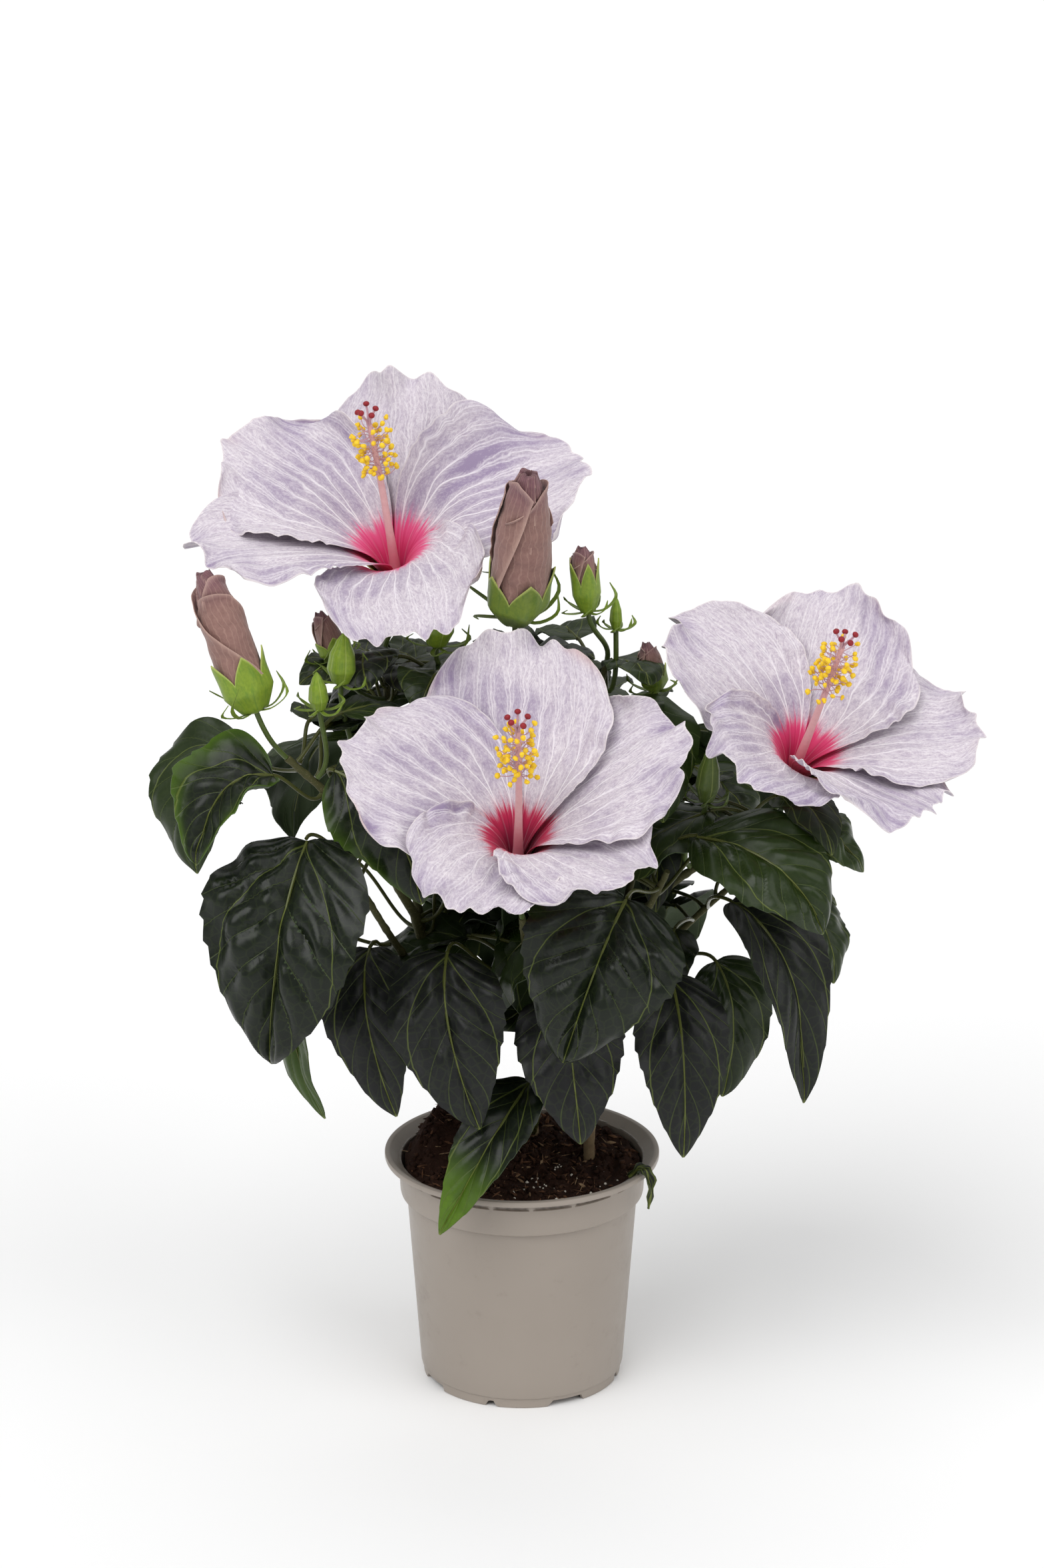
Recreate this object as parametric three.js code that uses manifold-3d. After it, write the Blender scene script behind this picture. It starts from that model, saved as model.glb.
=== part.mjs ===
// Potted chinese hibiscus: a plastic nursery pot filled with compost, three rooted
// cuttings, their leaves, three open flowers and the buds. Millimetres, +Z up.
// Places are given from the pot's axis at floor level, and the whole plant is moved at
// the end so that the origin lies in the middle of its box, at the floor.
import * as THREE from 'three';
import { mergeVertices } from 'three/addons/utils/BufferGeometryUtils.js';
import Module from 'manifold-3d';

const wasm = await Module();
wasm.setup();

// Driving dimensions of the pot. Turns are in degrees from the front, towards +X.
const potRimRadius = 65;
const potHeight = 113;
const potFootRadius = 47;
const potFootHeight = 5;
const potWall = 1.2;
const potBodyRadiusLow = 48.1;
const potBodyRadiusHigh = 54.6;
const potCollarHeight = 20;
const potCollarRadius = 58.4;
const potCollarTaper = 0.8;
const potLipHeight = 3;
const potLipEdge = 0.8;
const potFloorHeight = 3.6;
const wideNotch = { width: 17, height: 3, turn: 27 };
const smallNotch = { width: 4, height: 3, turn: -18 };
const drainHoleRadius = 4;
const drainHoleCircle = 34;

// Driving dimensions of the compost
const soilLevel = 107;
const soilGap = 0.35;
const heapHeight = 9;
const heapCentre = [-36, 26];
const heapSpread = 30;

// Driving dimensions of the plant
const seatGap = 0.3;
const petioleRadius = 0.9;
const pedicelRadius = 1.3;
const leafThickness = 0.6;
const petalThickness = 0.5;
const flowerBaseRadius = 4;
const throatDepth = 14;
const throatSlope = 82;
const bowlReach = 110;
const columnLength = 75;

// Materials
const surface = (color, roughness) => new THREE.MeshStandardMaterial({ color, roughness, metalness: 0 });
const potPlastic = surface('#a39b93', 0.45);
const compost = surface('#2b1a12', 0.95);
const bark = surface('#8a7358', 0.8);
const leafGreen = surface('#1c2b1a', 0.35);
const budGreen = surface('#6f9a2c', 0.5);
const petalLilac = surface('#dcd5dc', 0.7);
const budBrown = surface('#9a7468', 0.7);
const columnPink = surface('#e3a9a2', 0.6);

const vec = (x, y, z) => new THREE.Vector3(x, y, z);
const point = (list) => new THREE.Vector3(...list);
const radians = (degrees) => (degrees * Math.PI) / 180;
const mix = (a, b, t) => a + (b - a) * t;
const smooth = (t) => {
  const c = Math.min(1, Math.max(0, t));
  return c * c * (3 - 2 * c);
};

// A closed solid from rings of points, each joined to the next, with its faces pointing out.
// topCount is how many points of a sheet's ring lie on its upper side. The lower side is
// halved into triangles along the same lines, so that a thin twisted sheet keeps its width.
function loft(rings, topCount = rings[0].length + 1) {
  const count = rings[0].length;
  const positions = rings.flat().flatMap((p) => [p.x, p.y, p.z]);
  const index = [];
  for (let row = 0; row < rings.length - 1; row += 1) {
    for (let k = 0; k < count; k += 1) {
      const a = row * count + k;
      const b = row * count + ((k + 1) % count);
      if (k < topCount - 1) {
        index.push(a, b, a + count, b, b + count, a + count);
      } else {
        index.push(a, b, b + count, a, b + count, a + count);
      }
    }
  }
  const last = (rings.length - 1) * count;
  for (const [a, b, c] of cap(count)) {
    index.push(c, b, a, last + a, last + b, last + c);
  }
  if (signedVolume(positions, index) < 0) {
    index.reverse();
  }
  const geometry = new THREE.BufferGeometry();
  geometry.setAttribute('position', new THREE.Float32BufferAttribute(positions, 3));
  geometry.setIndex(index);
  return geometry;
}

// An end face laced from one side of the ring to the other, so that a thin ring stays thin
function cap(count) {
  const faces = [];
  let near = 0;
  let far = count;
  while (far - near > 2) {
    faces.push([near, near + 1, far - 1]);
    if (near > 0) {
      faces.push([near, far - 1, far]);
    }
    near += 1;
    far -= 1;
  }
  if (far - near === 2) {
    faces.push([near, near + 1, far]);
  }
  return faces;
}

function signedVolume(positions, index) {
  const corner = (i) => vec(positions[3 * i], positions[3 * i + 1], positions[3 * i + 2]);
  let volume = 0;
  for (let i = 0; i < index.length; i += 3) {
    volume += corner(index[i]).dot(corner(index[i + 1]).cross(corner(index[i + 2]))) / 6;
  }
  return volume;
}

// Joining and cutting closed solids
function toManifold(geometry) {
  const bare = geometry.clone();
  bare.deleteAttribute('normal');
  bare.deleteAttribute('uv');
  const merged = mergeVertices(bare, 1e-4);
  return new wasm.Manifold(new wasm.Mesh({
    numProp: 3,
    vertProperties: new Float32Array(merged.attributes.position.array),
    triVerts: new Uint32Array(merged.index.array),
  }));
}

function toGeometry(manifold) {
  const mesh = manifold.getMesh();
  const geometry = new THREE.BufferGeometry();
  geometry.setAttribute('position', new THREE.Float32BufferAttribute(mesh.vertProperties, 3));
  geometry.setIndex(Array.from(mesh.triVerts));
  return geometry;
}

function joined(geometries) {
  return toGeometry(geometries.map(toManifold).reduce((a, b) => a.add(b)));
}

function named(name, geometry, material) {
  const mesh = new THREE.Mesh(geometry, material);
  mesh.name = name;
  return mesh;
}

// A round tube along a curve, tapering from one radius to the other
function tube(curve, radiusStart, radiusEnd, steps, sides) {
  const across = curve.getTangent(0).cross(vec(0.31, 0.87, 0.38)).normalize();
  const rings = [];
  for (let i = 0; i <= steps; i += 1) {
    const t = i / steps;
    const along = curve.getTangent(t);
    across.addScaledVector(along, -across.dot(along)).normalize();
    const other = along.clone().cross(across);
    const radius = mix(radiusStart, radiusEnd, t);
    rings.push(ringOf(curve.getPoint(t), across, other, radius, sides));
  }
  return loft(rings);
}

function ringOf(centre, across, other, radius, sides) {
  return Array.from({ length: sides }, (unused, k) => {
    const angle = (2 * Math.PI * k) / sides;
    return centre.clone()
      .addScaledVector(across, radius * Math.cos(angle))
      .addScaledVector(other, radius * Math.sin(angle));
  });
}

// The pot: a turned shell with a stepped foot ring, a collar and a wide lip
function pot() {
  const collarBottom = potHeight - potCollarHeight;
  const lipBottom = potHeight - potLipHeight;
  const profile = [
    [0, potFloorHeight],
    [potFootRadius - 3, potFloorHeight],
    [potFootRadius - 2, 0],
    [potFootRadius, 0],
    [potFootRadius + 0.4, potFootHeight],
    [potBodyRadiusLow, potFootHeight + 0.3],
    [potBodyRadiusHigh, collarBottom - 1],
    [potCollarRadius - potCollarTaper, collarBottom],
    [potCollarRadius, lipBottom - 0.5],
    [potRimRadius - potLipEdge, lipBottom],
    [potRimRadius, lipBottom + potLipEdge],
    [potRimRadius, potHeight - potLipEdge],
    [potRimRadius - potLipEdge, potHeight],
    [potRimRadius - 3 * potLipEdge, potHeight],
    [potCollarRadius - potWall, lipBottom - 1],
    [potCollarRadius - potCollarTaper - potWall, collarBottom + 1.5],
    [potBodyRadiusHigh - potWall, collarBottom],
    [potBodyRadiusLow - potWall, potFloorHeight + 3],
    [potBodyRadiusLow - potWall - 2, potFloorHeight + potWall],
    [0, potFloorHeight + potWall],
  ].map(([radius, height]) => new THREE.Vector2(radius, height));
  const shell = new THREE.LatheGeometry(profile, 32);
  shell.rotateX(Math.PI / 2);
  const cuts = [0, 90, 180, 270].flatMap((quarter) => [
    footNotch(wideNotch, quarter),
    footNotch(smallNotch, quarter),
    drainHole(wideNotch.turn + quarter),
  ]);
  const solid = cuts.map(toManifold).reduce((rest, cut) => rest.subtract(cut), toManifold(shell));
  return named('pot', toGeometry(solid), potPlastic);
}

function footNotch({ width, height, turn }, quarter) {
  const notch = new THREE.BoxGeometry(width, 12, 2 * height);
  notch.translate(0, -potFootRadius, 0);
  notch.rotateZ(radians(turn + quarter));
  return notch;
}

function drainHole(turn) {
  const hole = new THREE.CylinderGeometry(drainHoleRadius, drainHoleRadius, 6, 12);
  hole.rotateX(Math.PI / 2);
  hole.translate(0, -drainHoleCircle, potFloorHeight);
  hole.rotateZ(radians(turn));
  return hole;
}

// The compost fills the pot and heaps up a little at the back left
function soil(stems) {
  const sides = 20;
  const shoulder = potHeight - potCollarHeight;
  const clearance = potWall + soilGap + 0.2;
  const bodyRadius = (height) => mix(potBodyRadiusLow, potBodyRadiusHigh, height / shoulder) - clearance;
  const collarRadius = potCollarRadius - potCollarTaper - clearance;
  const floor = potFloorHeight + potWall + soilGap;
  const ring = (radius, heightAt) => Array.from({ length: sides }, (unused, k) => {
    const angle = (2 * Math.PI * k) / sides;
    const x = radius * Math.cos(angle);
    const y = radius * Math.sin(angle);
    return vec(x, y, heightAt(x, y));
  });
  const flat = (height) => () => height;
  const heap = (x, y) => {
    const away = Math.hypot(x - heapCentre[0], y - heapCentre[1]) / heapSpread;
    const ripple = 1.2 * Math.sin(x / 7 + 1) * Math.cos(y / 6);
    return soilLevel + heapHeight * Math.exp(-(away ** 2)) + ripple;
  };
  const rings = [
    ring(bodyRadius(0) - 3, flat(floor)),
    ring(bodyRadius(5), flat(10)),
    ring(bodyRadius(shoulder - 5), flat(shoulder)),
    ring(collarRadius, flat(shoulder + 2.2)),
    ring(collarRadius, flat(soilLevel - 2)),
    ring(50, heap),
    ring(37, heap),
    ring(22, heap),
    ring(8, heap),
  ];
  const holes = stems.map((stem) => tube(stem.curve, stem.start + soilGap, stem.end + soilGap, 10, 8));
  const solid = holes.map(toManifold).reduce((rest, hole) => rest.subtract(hole), toManifold(loft(rings)));
  return named('potting_soil', toGeometry(solid), compost);
}

// The three woody cuttings. Each branch is a smooth run through its points, with its
// radius at the start and at the end. A branch starts inside the one that it grows from.
const cuttings = {
  stem_left: [
    {
      id: 'A', wide: 2.9, thin: 2.3,
      route: [[-26, 16, 84], [-27, 15, 120], [-38, 6, 180], [-50, -8, 235]],
    },
    {
      id: 'A1', wide: 2.2, thin: 1.6,
      route: [[-50, -8, 234], [-68, -26, 272], [-88, -38, 302], [-106, -43, 321]],
    },
    {
      id: 'A2', wide: 2.1, thin: 1.6,
      route: [[-44, -1, 205], [-52, 6, 255], [-60, 20, 305], [-64, 28, 345]],
    },
    {
      id: 'A3', wide: 1.9, thin: 1.4,
      route: [[-39, 4, 186], [-58, -18, 222], [-72, -38, 254], [-82, -50, 276]],
    },
  ],
  stem_middle: [
    {
      id: 'B', wide: 2.8, thin: 1.7,
      route: [[6, 30, 84], [5, 29, 120], [0, 30, 200], [-4, 22, 280], [-3, 4, 348]],
    },
    {
      id: 'B2', wide: 2.0, thin: 1.5,
      route: [[1, 30, 190], [16, 34, 250], [30, 26, 305], [39, 12, 350]],
    },
    {
      id: 'B3', wide: 2.0, thin: 1.6,
      route: [[4, 29, 150], [2, 4, 186], [2, -24, 218], [0, -47, 246]],
    },
    {
      id: 'B4', wide: 1.8, thin: 1.3,
      route: [[-4, 22, 282], [-16, 18, 312], [-28, 10, 334], [-37, 2, 350]],
    },
    {
      id: 'B5', wide: 1.8, thin: 1.3,
      route: [[1, 30, 180], [6, 56, 220], [8, 74, 262], [6, 84, 300]],
    },
  ],
  stem_right: [
    {
      id: 'C', wide: 2.8, thin: 2.2,
      route: [[32, 4, 84], [32, 3, 120], [35, 0, 170], [41, -5, 212]],
    },
    {
      id: 'C1', wide: 2.1, thin: 1.6,
      route: [[40, -4, 208], [62, -9, 242], [88, -12, 264], [112, -13, 283]],
    },
    {
      id: 'C2', wide: 1.9, thin: 1.4,
      route: [[38, -3, 192], [46, -22, 222], [58, -38, 248], [66, -46, 268]],
    },
    {
      id: 'C3', wide: 1.9, thin: 1.3,
      route: [[36, -1, 178], [60, 8, 204], [84, 16, 226], [104, 18, 244]],
    },
    {
      id: 'C4', wide: 1.8, thin: 1.3,
      route: [[41, -4, 206], [52, 26, 240], [62, 48, 272], [68, 58, 304]],
    },
  ],
};

function branchCurve(branch) {
  return new THREE.CatmullRomCurve3(branch.route.map(point), false, 'centripetal');
}

const branches = Object.fromEntries(Object.values(cuttings).flat().map((branch) => [
  branch.id,
  { curve: branchCurve(branch), start: branch.wide, end: branch.thin },
]));

function cutting(name) {
  const tubes = cuttings[name].map(({ id }) => {
    const { curve, start, end } = branches[id];
    return tube(curve, start, end, id.length === 1 ? 8 : 5, 6);
  });
  return named(name, joined(tubes), bark);
}

// Where a stalk leaves a branch, and the direction in which it sets out
function seatOn(branchId, along, target, stalkRadius) {
  const { curve, start, end } = branches[branchId];
  const centre = curve.getPoint(along);
  const tangent = curve.getTangent(along);
  if (along === 1) {
    return { start: centre.addScaledVector(tangent, seatGap), direction: tangent };
  }
  const direction = target.clone().sub(centre);
  direction.addScaledVector(tangent, -direction.dot(tangent)).normalize();
  const reach = mix(start, end, along) + seatGap + 0.04 * stalkRadius;
  return { start: centre.addScaledVector(direction, reach), direction };
}

// A stalk from its seat on a branch to the part that it carries
function stalkCurve(seat, target, arrival) {
  const length = seat.start.distanceTo(target);
  return new THREE.CubicBezierCurve3(
    seat.start,
    seat.start.clone().addScaledVector(seat.direction, 0.35 * length),
    target.clone().addScaledVector(arrival, -0.35 * length),
    target,
  );
}

// A leaf with its petiole, grown as one piece. base, mid and tip set the midrib, face is
// the way that the upper side looks, fold lifts the sides, and droop lowers the outer half.
const leafStations = [0, 0.08, 0.2, 0.38, 0.58, 0.78, 0.92, 1];
const leafColumns = [-1, -0.5, 0, 0.5, 1];

function leafHalfWidth(u, width) {
  return Math.max(0.35, 0.5 * width * Math.sin(Math.PI * u ** 0.76) ** 0.75);
}

function leaf(name, spec) {
  const base = point(spec.base);
  const tip = point(spec.tip);
  const midrib = new THREE.QuadraticBezierCurve3(base, point(spec.mid), tip);
  const face = point(spec.face).normalize();
  const seat = seatOn(spec.on, spec.at, base, petioleRadius);
  const petiole = stalkCurve(seat, base, midrib.getTangent(0));
  const sideAt = (tangent) => tangent.clone().cross(face).normalize();
  const rings = [];
  for (const t of [0, 0.45, 0.92]) {
    const tangent = petiole.getTangent(t);
    const side = sideAt(midrib.getTangent(0));
    side.addScaledVector(tangent, -side.dot(tangent)).normalize();
    const up = side.clone().cross(tangent);
    rings.push([180, 135, 90, 45, 0, -45, -90, -135].map((degrees) => petiole.getPoint(t)
      .addScaledVector(side, petioleRadius * Math.cos(radians(degrees)))
      .addScaledVector(up, petioleRadius * Math.sin(radians(degrees)))));
  }
  for (const u of leafStations) {
    const tangent = midrib.getTangent(u);
    const side = sideAt(tangent);
    const up = side.clone().cross(tangent);
    const half = leafHalfWidth(u, spec.width);
    const place = (v, lift) => {
      const lobe = -0.22 * half * Math.abs(v) * (1 - u) ** 3;
      const height = half * Math.abs(v) * (spec.fold - spec.droop * Math.abs(v));
      return midrib.getPoint(u)
        .addScaledVector(side, v * half)
        .addScaledVector(tangent, lobe)
        .addScaledVector(up, height + lift);
    };
    const top = leafColumns.map((v) => place(v, Math.abs(v) === 1 ? 0 : leafThickness / 2));
    const bottom = [0.5, 0, -0.5].map((v) => place(v, -leafThickness / 2));
    rings.push([...top, ...bottom]);
  }
  return named(name, loft(rings, leafColumns.length), leafGreen);
}

// Flowers. throat is the point at which the column shows, axis the way that the flower
// faces. Each petal has the azimuth of its tip, counted from the flower's right towards
// its top, its length, half its width and the slope of its tip above the flower's face.
// layer gives the height of its clockwise and its other edge over the common bowl.
const flowers = {
  front_flower: {
    throat: [-2, -75, 291],
    axis: [0, -0.416, 0.909],
    first: 92,
    seat: ['B3', 1],
    petals: [
      { to: 90, length: 105, half: 46, slope: 36, layer: [1, -1] },
      { to: 161, length: 97, half: 46, slope: 22, layer: [1, -1] },
      { to: 244, length: 77, half: 43, slope: 2, layer: [1, -1] },
      { to: 317, length: 83, half: 44, slope: 8, layer: [1, -1] },
      { to: 380, length: 98, half: 44, slope: 24, layer: [1, -1] },
    ],
  },
  left_flower: {
    throat: [-59, 15, 399],
    axis: [-0.1455, -0.2107, 0.9667],
    first: 78,
    seat: ['A2', 1],
    petals: [
      { to: 78, length: 99, half: 44, slope: 40, layer: [-1, -1] },
      { to: 148, length: 102, half: 42, slope: 28, layer: [1, 1] },
      { to: 192, length: 102, half: 36, slope: 8, layer: [-1, 1] },
      { to: 278, length: 79, half: 46, slope: -28, layer: [-1, 1] },
      { to: 372, length: 104, half: 42, slope: 4, layer: [-1, 2] },
    ],
  },
  right_flower: {
    throat: [126, -20, 313],
    axis: [0.25, -0.37, 0.895],
    first: 78,
    seat: ['C1', 1],
    petals: [
      { to: 78, length: 92, half: 44, slope: 34, layer: [1, -1] },
      { to: 152, length: 93, half: 42, slope: 16, layer: [1, -1] },
      { to: 230, length: 78, half: 40, slope: 14, layer: [1, -1] },
      { to: 320, length: 81, half: 42, slope: 2, layer: [1, -1] },
      { to: 370, length: 92, half: 40, slope: 12, layer: [1, -1] },
    ],
  },
};

function flowerFrame(flower) {
  const axis = point(flower.axis).normalize();
  const right = vec(1, 0, 0).addScaledVector(axis, -axis.x).normalize();
  const top = axis.clone().cross(right);
  const base = point(flower.throat).addScaledVector(axis, -throatDepth);
  const at = (radius, azimuth, height) => base.clone()
    .addScaledVector(right, radius * Math.cos(radians(azimuth)))
    .addScaledVector(top, radius * Math.sin(radians(azimuth)))
    .addScaledVector(axis, height);
  return { axis, base, at };
}

// The slope at which the bowl ends, eased from each petal to the next
function endSlope(flower, azimuth) {
  const turns = flower.petals.map((petal) => ({ ...petal, ahead: (petal.to - azimuth + 1080) % 360 }));
  const next = turns.reduce((a, b) => (b.ahead < a.ahead ? b : a));
  const last = turns.reduce((a, b) => (b.ahead > a.ahead ? b : a));
  const gap = 360 - last.ahead + next.ahead;
  return mix(last.slope, next.slope, smooth((360 - last.ahead) / gap));
}

// The bowl that the petals share: steep at the base, easing to its end slope
function bowl(flower, distance, azimuth) {
  const end = endSlope(flower, azimuth);
  const slopeAt = (s) => radians(mix(end, throatSlope, Math.max(0, 1 - s / bowlReach) ** 3.2));
  const steps = 12;
  let radius = flowerBaseRadius;
  let height = 0;
  for (let i = 0; i < steps; i += 1) {
    const slope = slopeAt((distance * (i + 0.5)) / steps);
    radius += (distance / steps) * Math.cos(slope);
    height += (distance / steps) * Math.sin(slope);
  }
  return { radius, height, slope: slopeAt(distance) };
}

function bowlPoint(flower, frame, distance, azimuth, offset) {
  const { radius, height, slope } = bowl(flower, distance, azimuth);
  return frame.at(radius - offset * Math.sin(slope), azimuth, height + offset * Math.cos(slope));
}

// A petal is narrow at its claw, widest at four fifths of its length and rounded beyond
const petalStations = [0, 0.06, 0.15, 0.3, 0.5, 0.7, 0.87, 1];
const petalColumns = [-1, -0.66, -0.33, 0, 0.33, 0.66, 1];
const clawHalfWidth = 2.4;

function petalHalfWidth(u, widest) {
  const spread = Math.sin((Math.PI / 2) * Math.min(1, u / 0.8)) ** 1.3;
  const rounding = 1 - 0.15 * Math.max(0, (u - 0.8) / 0.2) ** 2;
  return clawHalfWidth + (widest - clawHalfWidth) * spread * rounding;
}

function petal(flowerName, number) {
  const flower = flowers[flowerName];
  const frame = flowerFrame(flower);
  const spec = flower.petals[number];
  const from = flower.first + 72 * number;
  const layerStep = (distance) => mix(0.6, 1.7, Math.min(1, distance / 50)) * Math.min(1, distance / 4);
  const rings = petalStations.map((u) => {
    const half = petalHalfWidth(u, spec.half);
    const place = (v, lift) => {
      const distance = u * spec.length * (1 - 0.16 * Math.abs(v) ** 2.6 * u ** 2);
      const { radius } = bowl(flower, distance, spec.to);
      const turn = ((v * half) / radius) * (180 / Math.PI);
      const middle = mix(from, spec.to, smooth(distance / 50));
      const layer = (turn < 0 ? -spec.layer[0] : spec.layer[1]) * (turn / 36) * layerStep(distance);
      return bowlPoint(flower, frame, distance, middle + turn, layer + lift);
    };
    const top = petalColumns.map((v) => place(v, Math.abs(v) === 1 ? 0 : petalThickness / 2));
    const bottom = [0.66, 0.33, 0, -0.33, -0.66].map((v) => place(v, -petalThickness / 2));
    return [...top, ...bottom];
  });
  return named(`${flowerName}_petal_${number + 1}`, loft(rings, petalColumns.length), petalLilac);
}

// The staminal column with its five stigma branches and a few of its stamens
function column(flowerName) {
  const { at } = flowerFrame(flowers[flowerName]);
  const end = throatDepth + columnLength;
  const line = (...points) => new THREE.CatmullRomCurve3(points);
  const knob = (radius, place) => {
    const shape = new THREE.OctahedronGeometry(radius, 0);
    shape.translate(...place.toArray());
    return shape;
  };
  const parts = [tube(line(at(0, 0, 0), at(0, 0, end / 2), at(0, 0, end - 7)), 2.2, 1.3, 2, 6)];
  for (let branch = 0; branch < 5; branch += 1) {
    const azimuth = 72 * branch + 18;
    const stigma = at(4, azimuth, end);
    parts.push(tube(line(at(0.4, azimuth, end - 9), stigma), 0.7, 0.5, 1, 3), knob(1.5, stigma));
  }
  for (let stamen = 0; stamen < 6; stamen += 1) {
    const azimuth = 137.5 * stamen;
    const height = end - 12 - 4 * stamen;
    const anther = at(8, azimuth, height + 4);
    parts.push(tube(line(at(0.6, azimuth, height), anther), 0.5, 0.4, 1, 3), knob(1.2, anther));
  }
  return named(`${flowerName}_column`, joined(parts), columnPink);
}

// A green cup with five lobes that follows the outside of the petals, six curved bracts
// below it and the pedicel, grown as one piece
function calyx(flowerName) {
  const flower = flowers[flowerName];
  const frame = flowerFrame(flower);
  const sides = 15;
  const clear = (distance) => -1.0 - 0.075 * distance;
  const lobe = (k) => (k % 3 === 1 ? 24 : 12);
  const wall = (share, thickness) => Array.from({ length: sides }, (unused, k) => {
    const distance = share * lobe(k);
    return bowlPoint(flower, frame, distance, (360 * k) / sides, clear(distance) - thickness);
  });
  const disc = (radius, height) => Array.from(
    { length: sides },
    (unused, k) => frame.at(radius, (360 * k) / sides, height),
  );
  const rings = [
    disc(pedicelRadius, -7),
    disc(3.4, -5),
    wall(0, 0.9),
    wall(0.5, 0.8),
    wall(1, 0.6),
    wall(1, 0),
    wall(0.5, 0),
    wall(0, 0),
    disc(2, -seatGap),
  ];
  const foot = frame.at(0, 0, -6.5);
  const [branchId, along] = flower.seat;
  const seat = seatOn(branchId, along, foot, pedicelRadius);
  const pedicel = tube(stalkCurve(seat, foot, frame.axis), pedicelRadius, pedicelRadius, 5, 6);
  const parts = [loft(rings), pedicel];
  for (let k = 0; k < 6; k += 1) {
    const azimuth = 60 * k + 10;
    const bract = new THREE.CatmullRomCurve3([
      frame.at(2.4, azimuth, -4.6),
      frame.at(10, azimuth, -3.4),
      frame.at(15.5, azimuth, 2.6),
    ]);
    parts.push(tube(bract, 0.9, 0.35, 2, 3));
  }
  return named(`${flowerName}_calyx`, joined(parts), budGreen);
}

// Buds. base is the foot of the green cup and tip the end of the bud. cup is the height
// of the cup where furled petals stand out of it. A bud without it is closed.
const buds = {
  left_bud: { base: [-119, -50, 345], tip: [-142, -45, 408], radius: 10.2, cup: 26, seat: ['A1', 1] },
  middle_bud: { base: [-3, -15, 378], tip: [3, -50, 455], radius: 12.4, cup: 30, seat: ['B', 1] },
  tall_bud: { base: [30, -8, 379], tip: [27, -10, 410], radius: 5.6, cup: 24, seat: ['B2', 1] },
  brown_bud: { base: [-85, 8, 352], tip: [-93, 12, 373], radius: 6, cup: 10, seat: ['A2', 0.86] },
  hidden_bud: { base: [62, 10, 336], tip: [57, 10, 359], radius: 5.4, cup: 12, seat: ['B2', 0.62] },
  stalk_bud: { base: [43, 5, 367], tip: [43, 5, 383], radius: 3, seat: ['B2', 0.9] },
  green_bud_1: { base: [-39, -5, 362], tip: [-36, -10, 392], radius: 7.6, seat: ['B4', 1] },
  green_bud_2: { base: [-82, -28, 351], tip: [-80, -30, 376], radius: 6.6, seat: ['A1', 0.55] },
  green_bud_3: { base: [-91, -42, 343], tip: [-92, -45, 362], radius: 4.6, seat: ['A1', 0.78] },
  green_bud_4: { base: [84, -26, 294], tip: [86, -30, 323], radius: 5.6, seat: ['C1', 0.55] },
};

function budFrame(spec) {
  const base = point(spec.base);
  const axis = point(spec.tip).sub(base);
  const length = axis.length();
  axis.normalize();
  const right = vec(1, 0, 0).addScaledVector(axis, -axis.x).normalize();
  const back = axis.clone().cross(right);
  const ring = (radius, height, sides) => Array.from({ length: sides }, (unused, k) => {
    const angle = (2 * Math.PI * k) / sides;
    return base.clone().addScaledVector(axis, height)
      .addScaledVector(right, radius(k) * Math.cos(angle))
      .addScaledVector(back, radius(k) * Math.sin(angle));
  });
  return { base, axis, length, ring };
}

// The green cup, closed over a small bud, with five bracts and the pedicel
const cupFlare = 1.12;
const cupWall = 0.8;

function budCup(name) {
  const spec = buds[name];
  const { base, axis, length, ring } = budFrame(spec);
  const sides = 10;
  const even = (radius) => () => radius;
  const ridge = (radius) => (k) => radius * (k % 2 ? 0.9 : 1);
  const rings = [ring(even(pedicelRadius * 0.9), -2, sides), ring(ridge(spec.radius * 0.62), 1.5, sides)];
  if (spec.cup) {
    const lobed = (radius, height) => {
      const low = ring(even(radius), height * 0.72, sides);
      const high = ring(even(radius), height, sides);
      return low.map((p, k) => (k % 2 ? p : high[k]));
    };
    const outer = spec.radius * cupFlare;
    rings.push(ring(even(outer), 0.4 * spec.cup, sides));
    rings.push(lobed(outer * 1.02, spec.cup));
    rings.push(lobed(outer * 1.02 - 0.7, spec.cup));
    rings.push(ring(even(outer - cupWall), 0.4 * spec.cup, sides));
    rings.push(ring(even(spec.radius * 0.62 - 0.6), 3.2, sides));
  } else {
    rings.push(ring(ridge(spec.radius), 0.3 * length, sides));
    rings.push(ring(ridge(spec.radius * 0.86), 0.6 * length, sides));
    rings.push(ring(ridge(spec.radius * 0.45), 0.86 * length, sides));
    rings.push(ring(even(0.5), length, sides));
  }
  const seat = seatOn(spec.seat[0], spec.seat[1], base, pedicelRadius);
  const foot = base.clone().addScaledVector(axis, -1.5);
  const pedicel = tube(stalkCurve(seat, foot, axis), pedicelRadius * 0.9, pedicelRadius * 0.9, 4, 5);
  const parts = [loft(rings), pedicel];
  const reach = spec.radius * 1.9 + 2;
  for (let k = 0; k < 5; k += 1) {
    const around = (radius, height) => ring(even(radius), height, 5)[k];
    const bract = new THREE.CatmullRomCurve3([around(1.2, 0.6), around(reach, 0.4 * reach)]);
    parts.push(tube(bract, 0.8, 0.35, 1, 3));
  }
  return named(`${name}_calyx`, joined(parts), budGreen);
}

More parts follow.
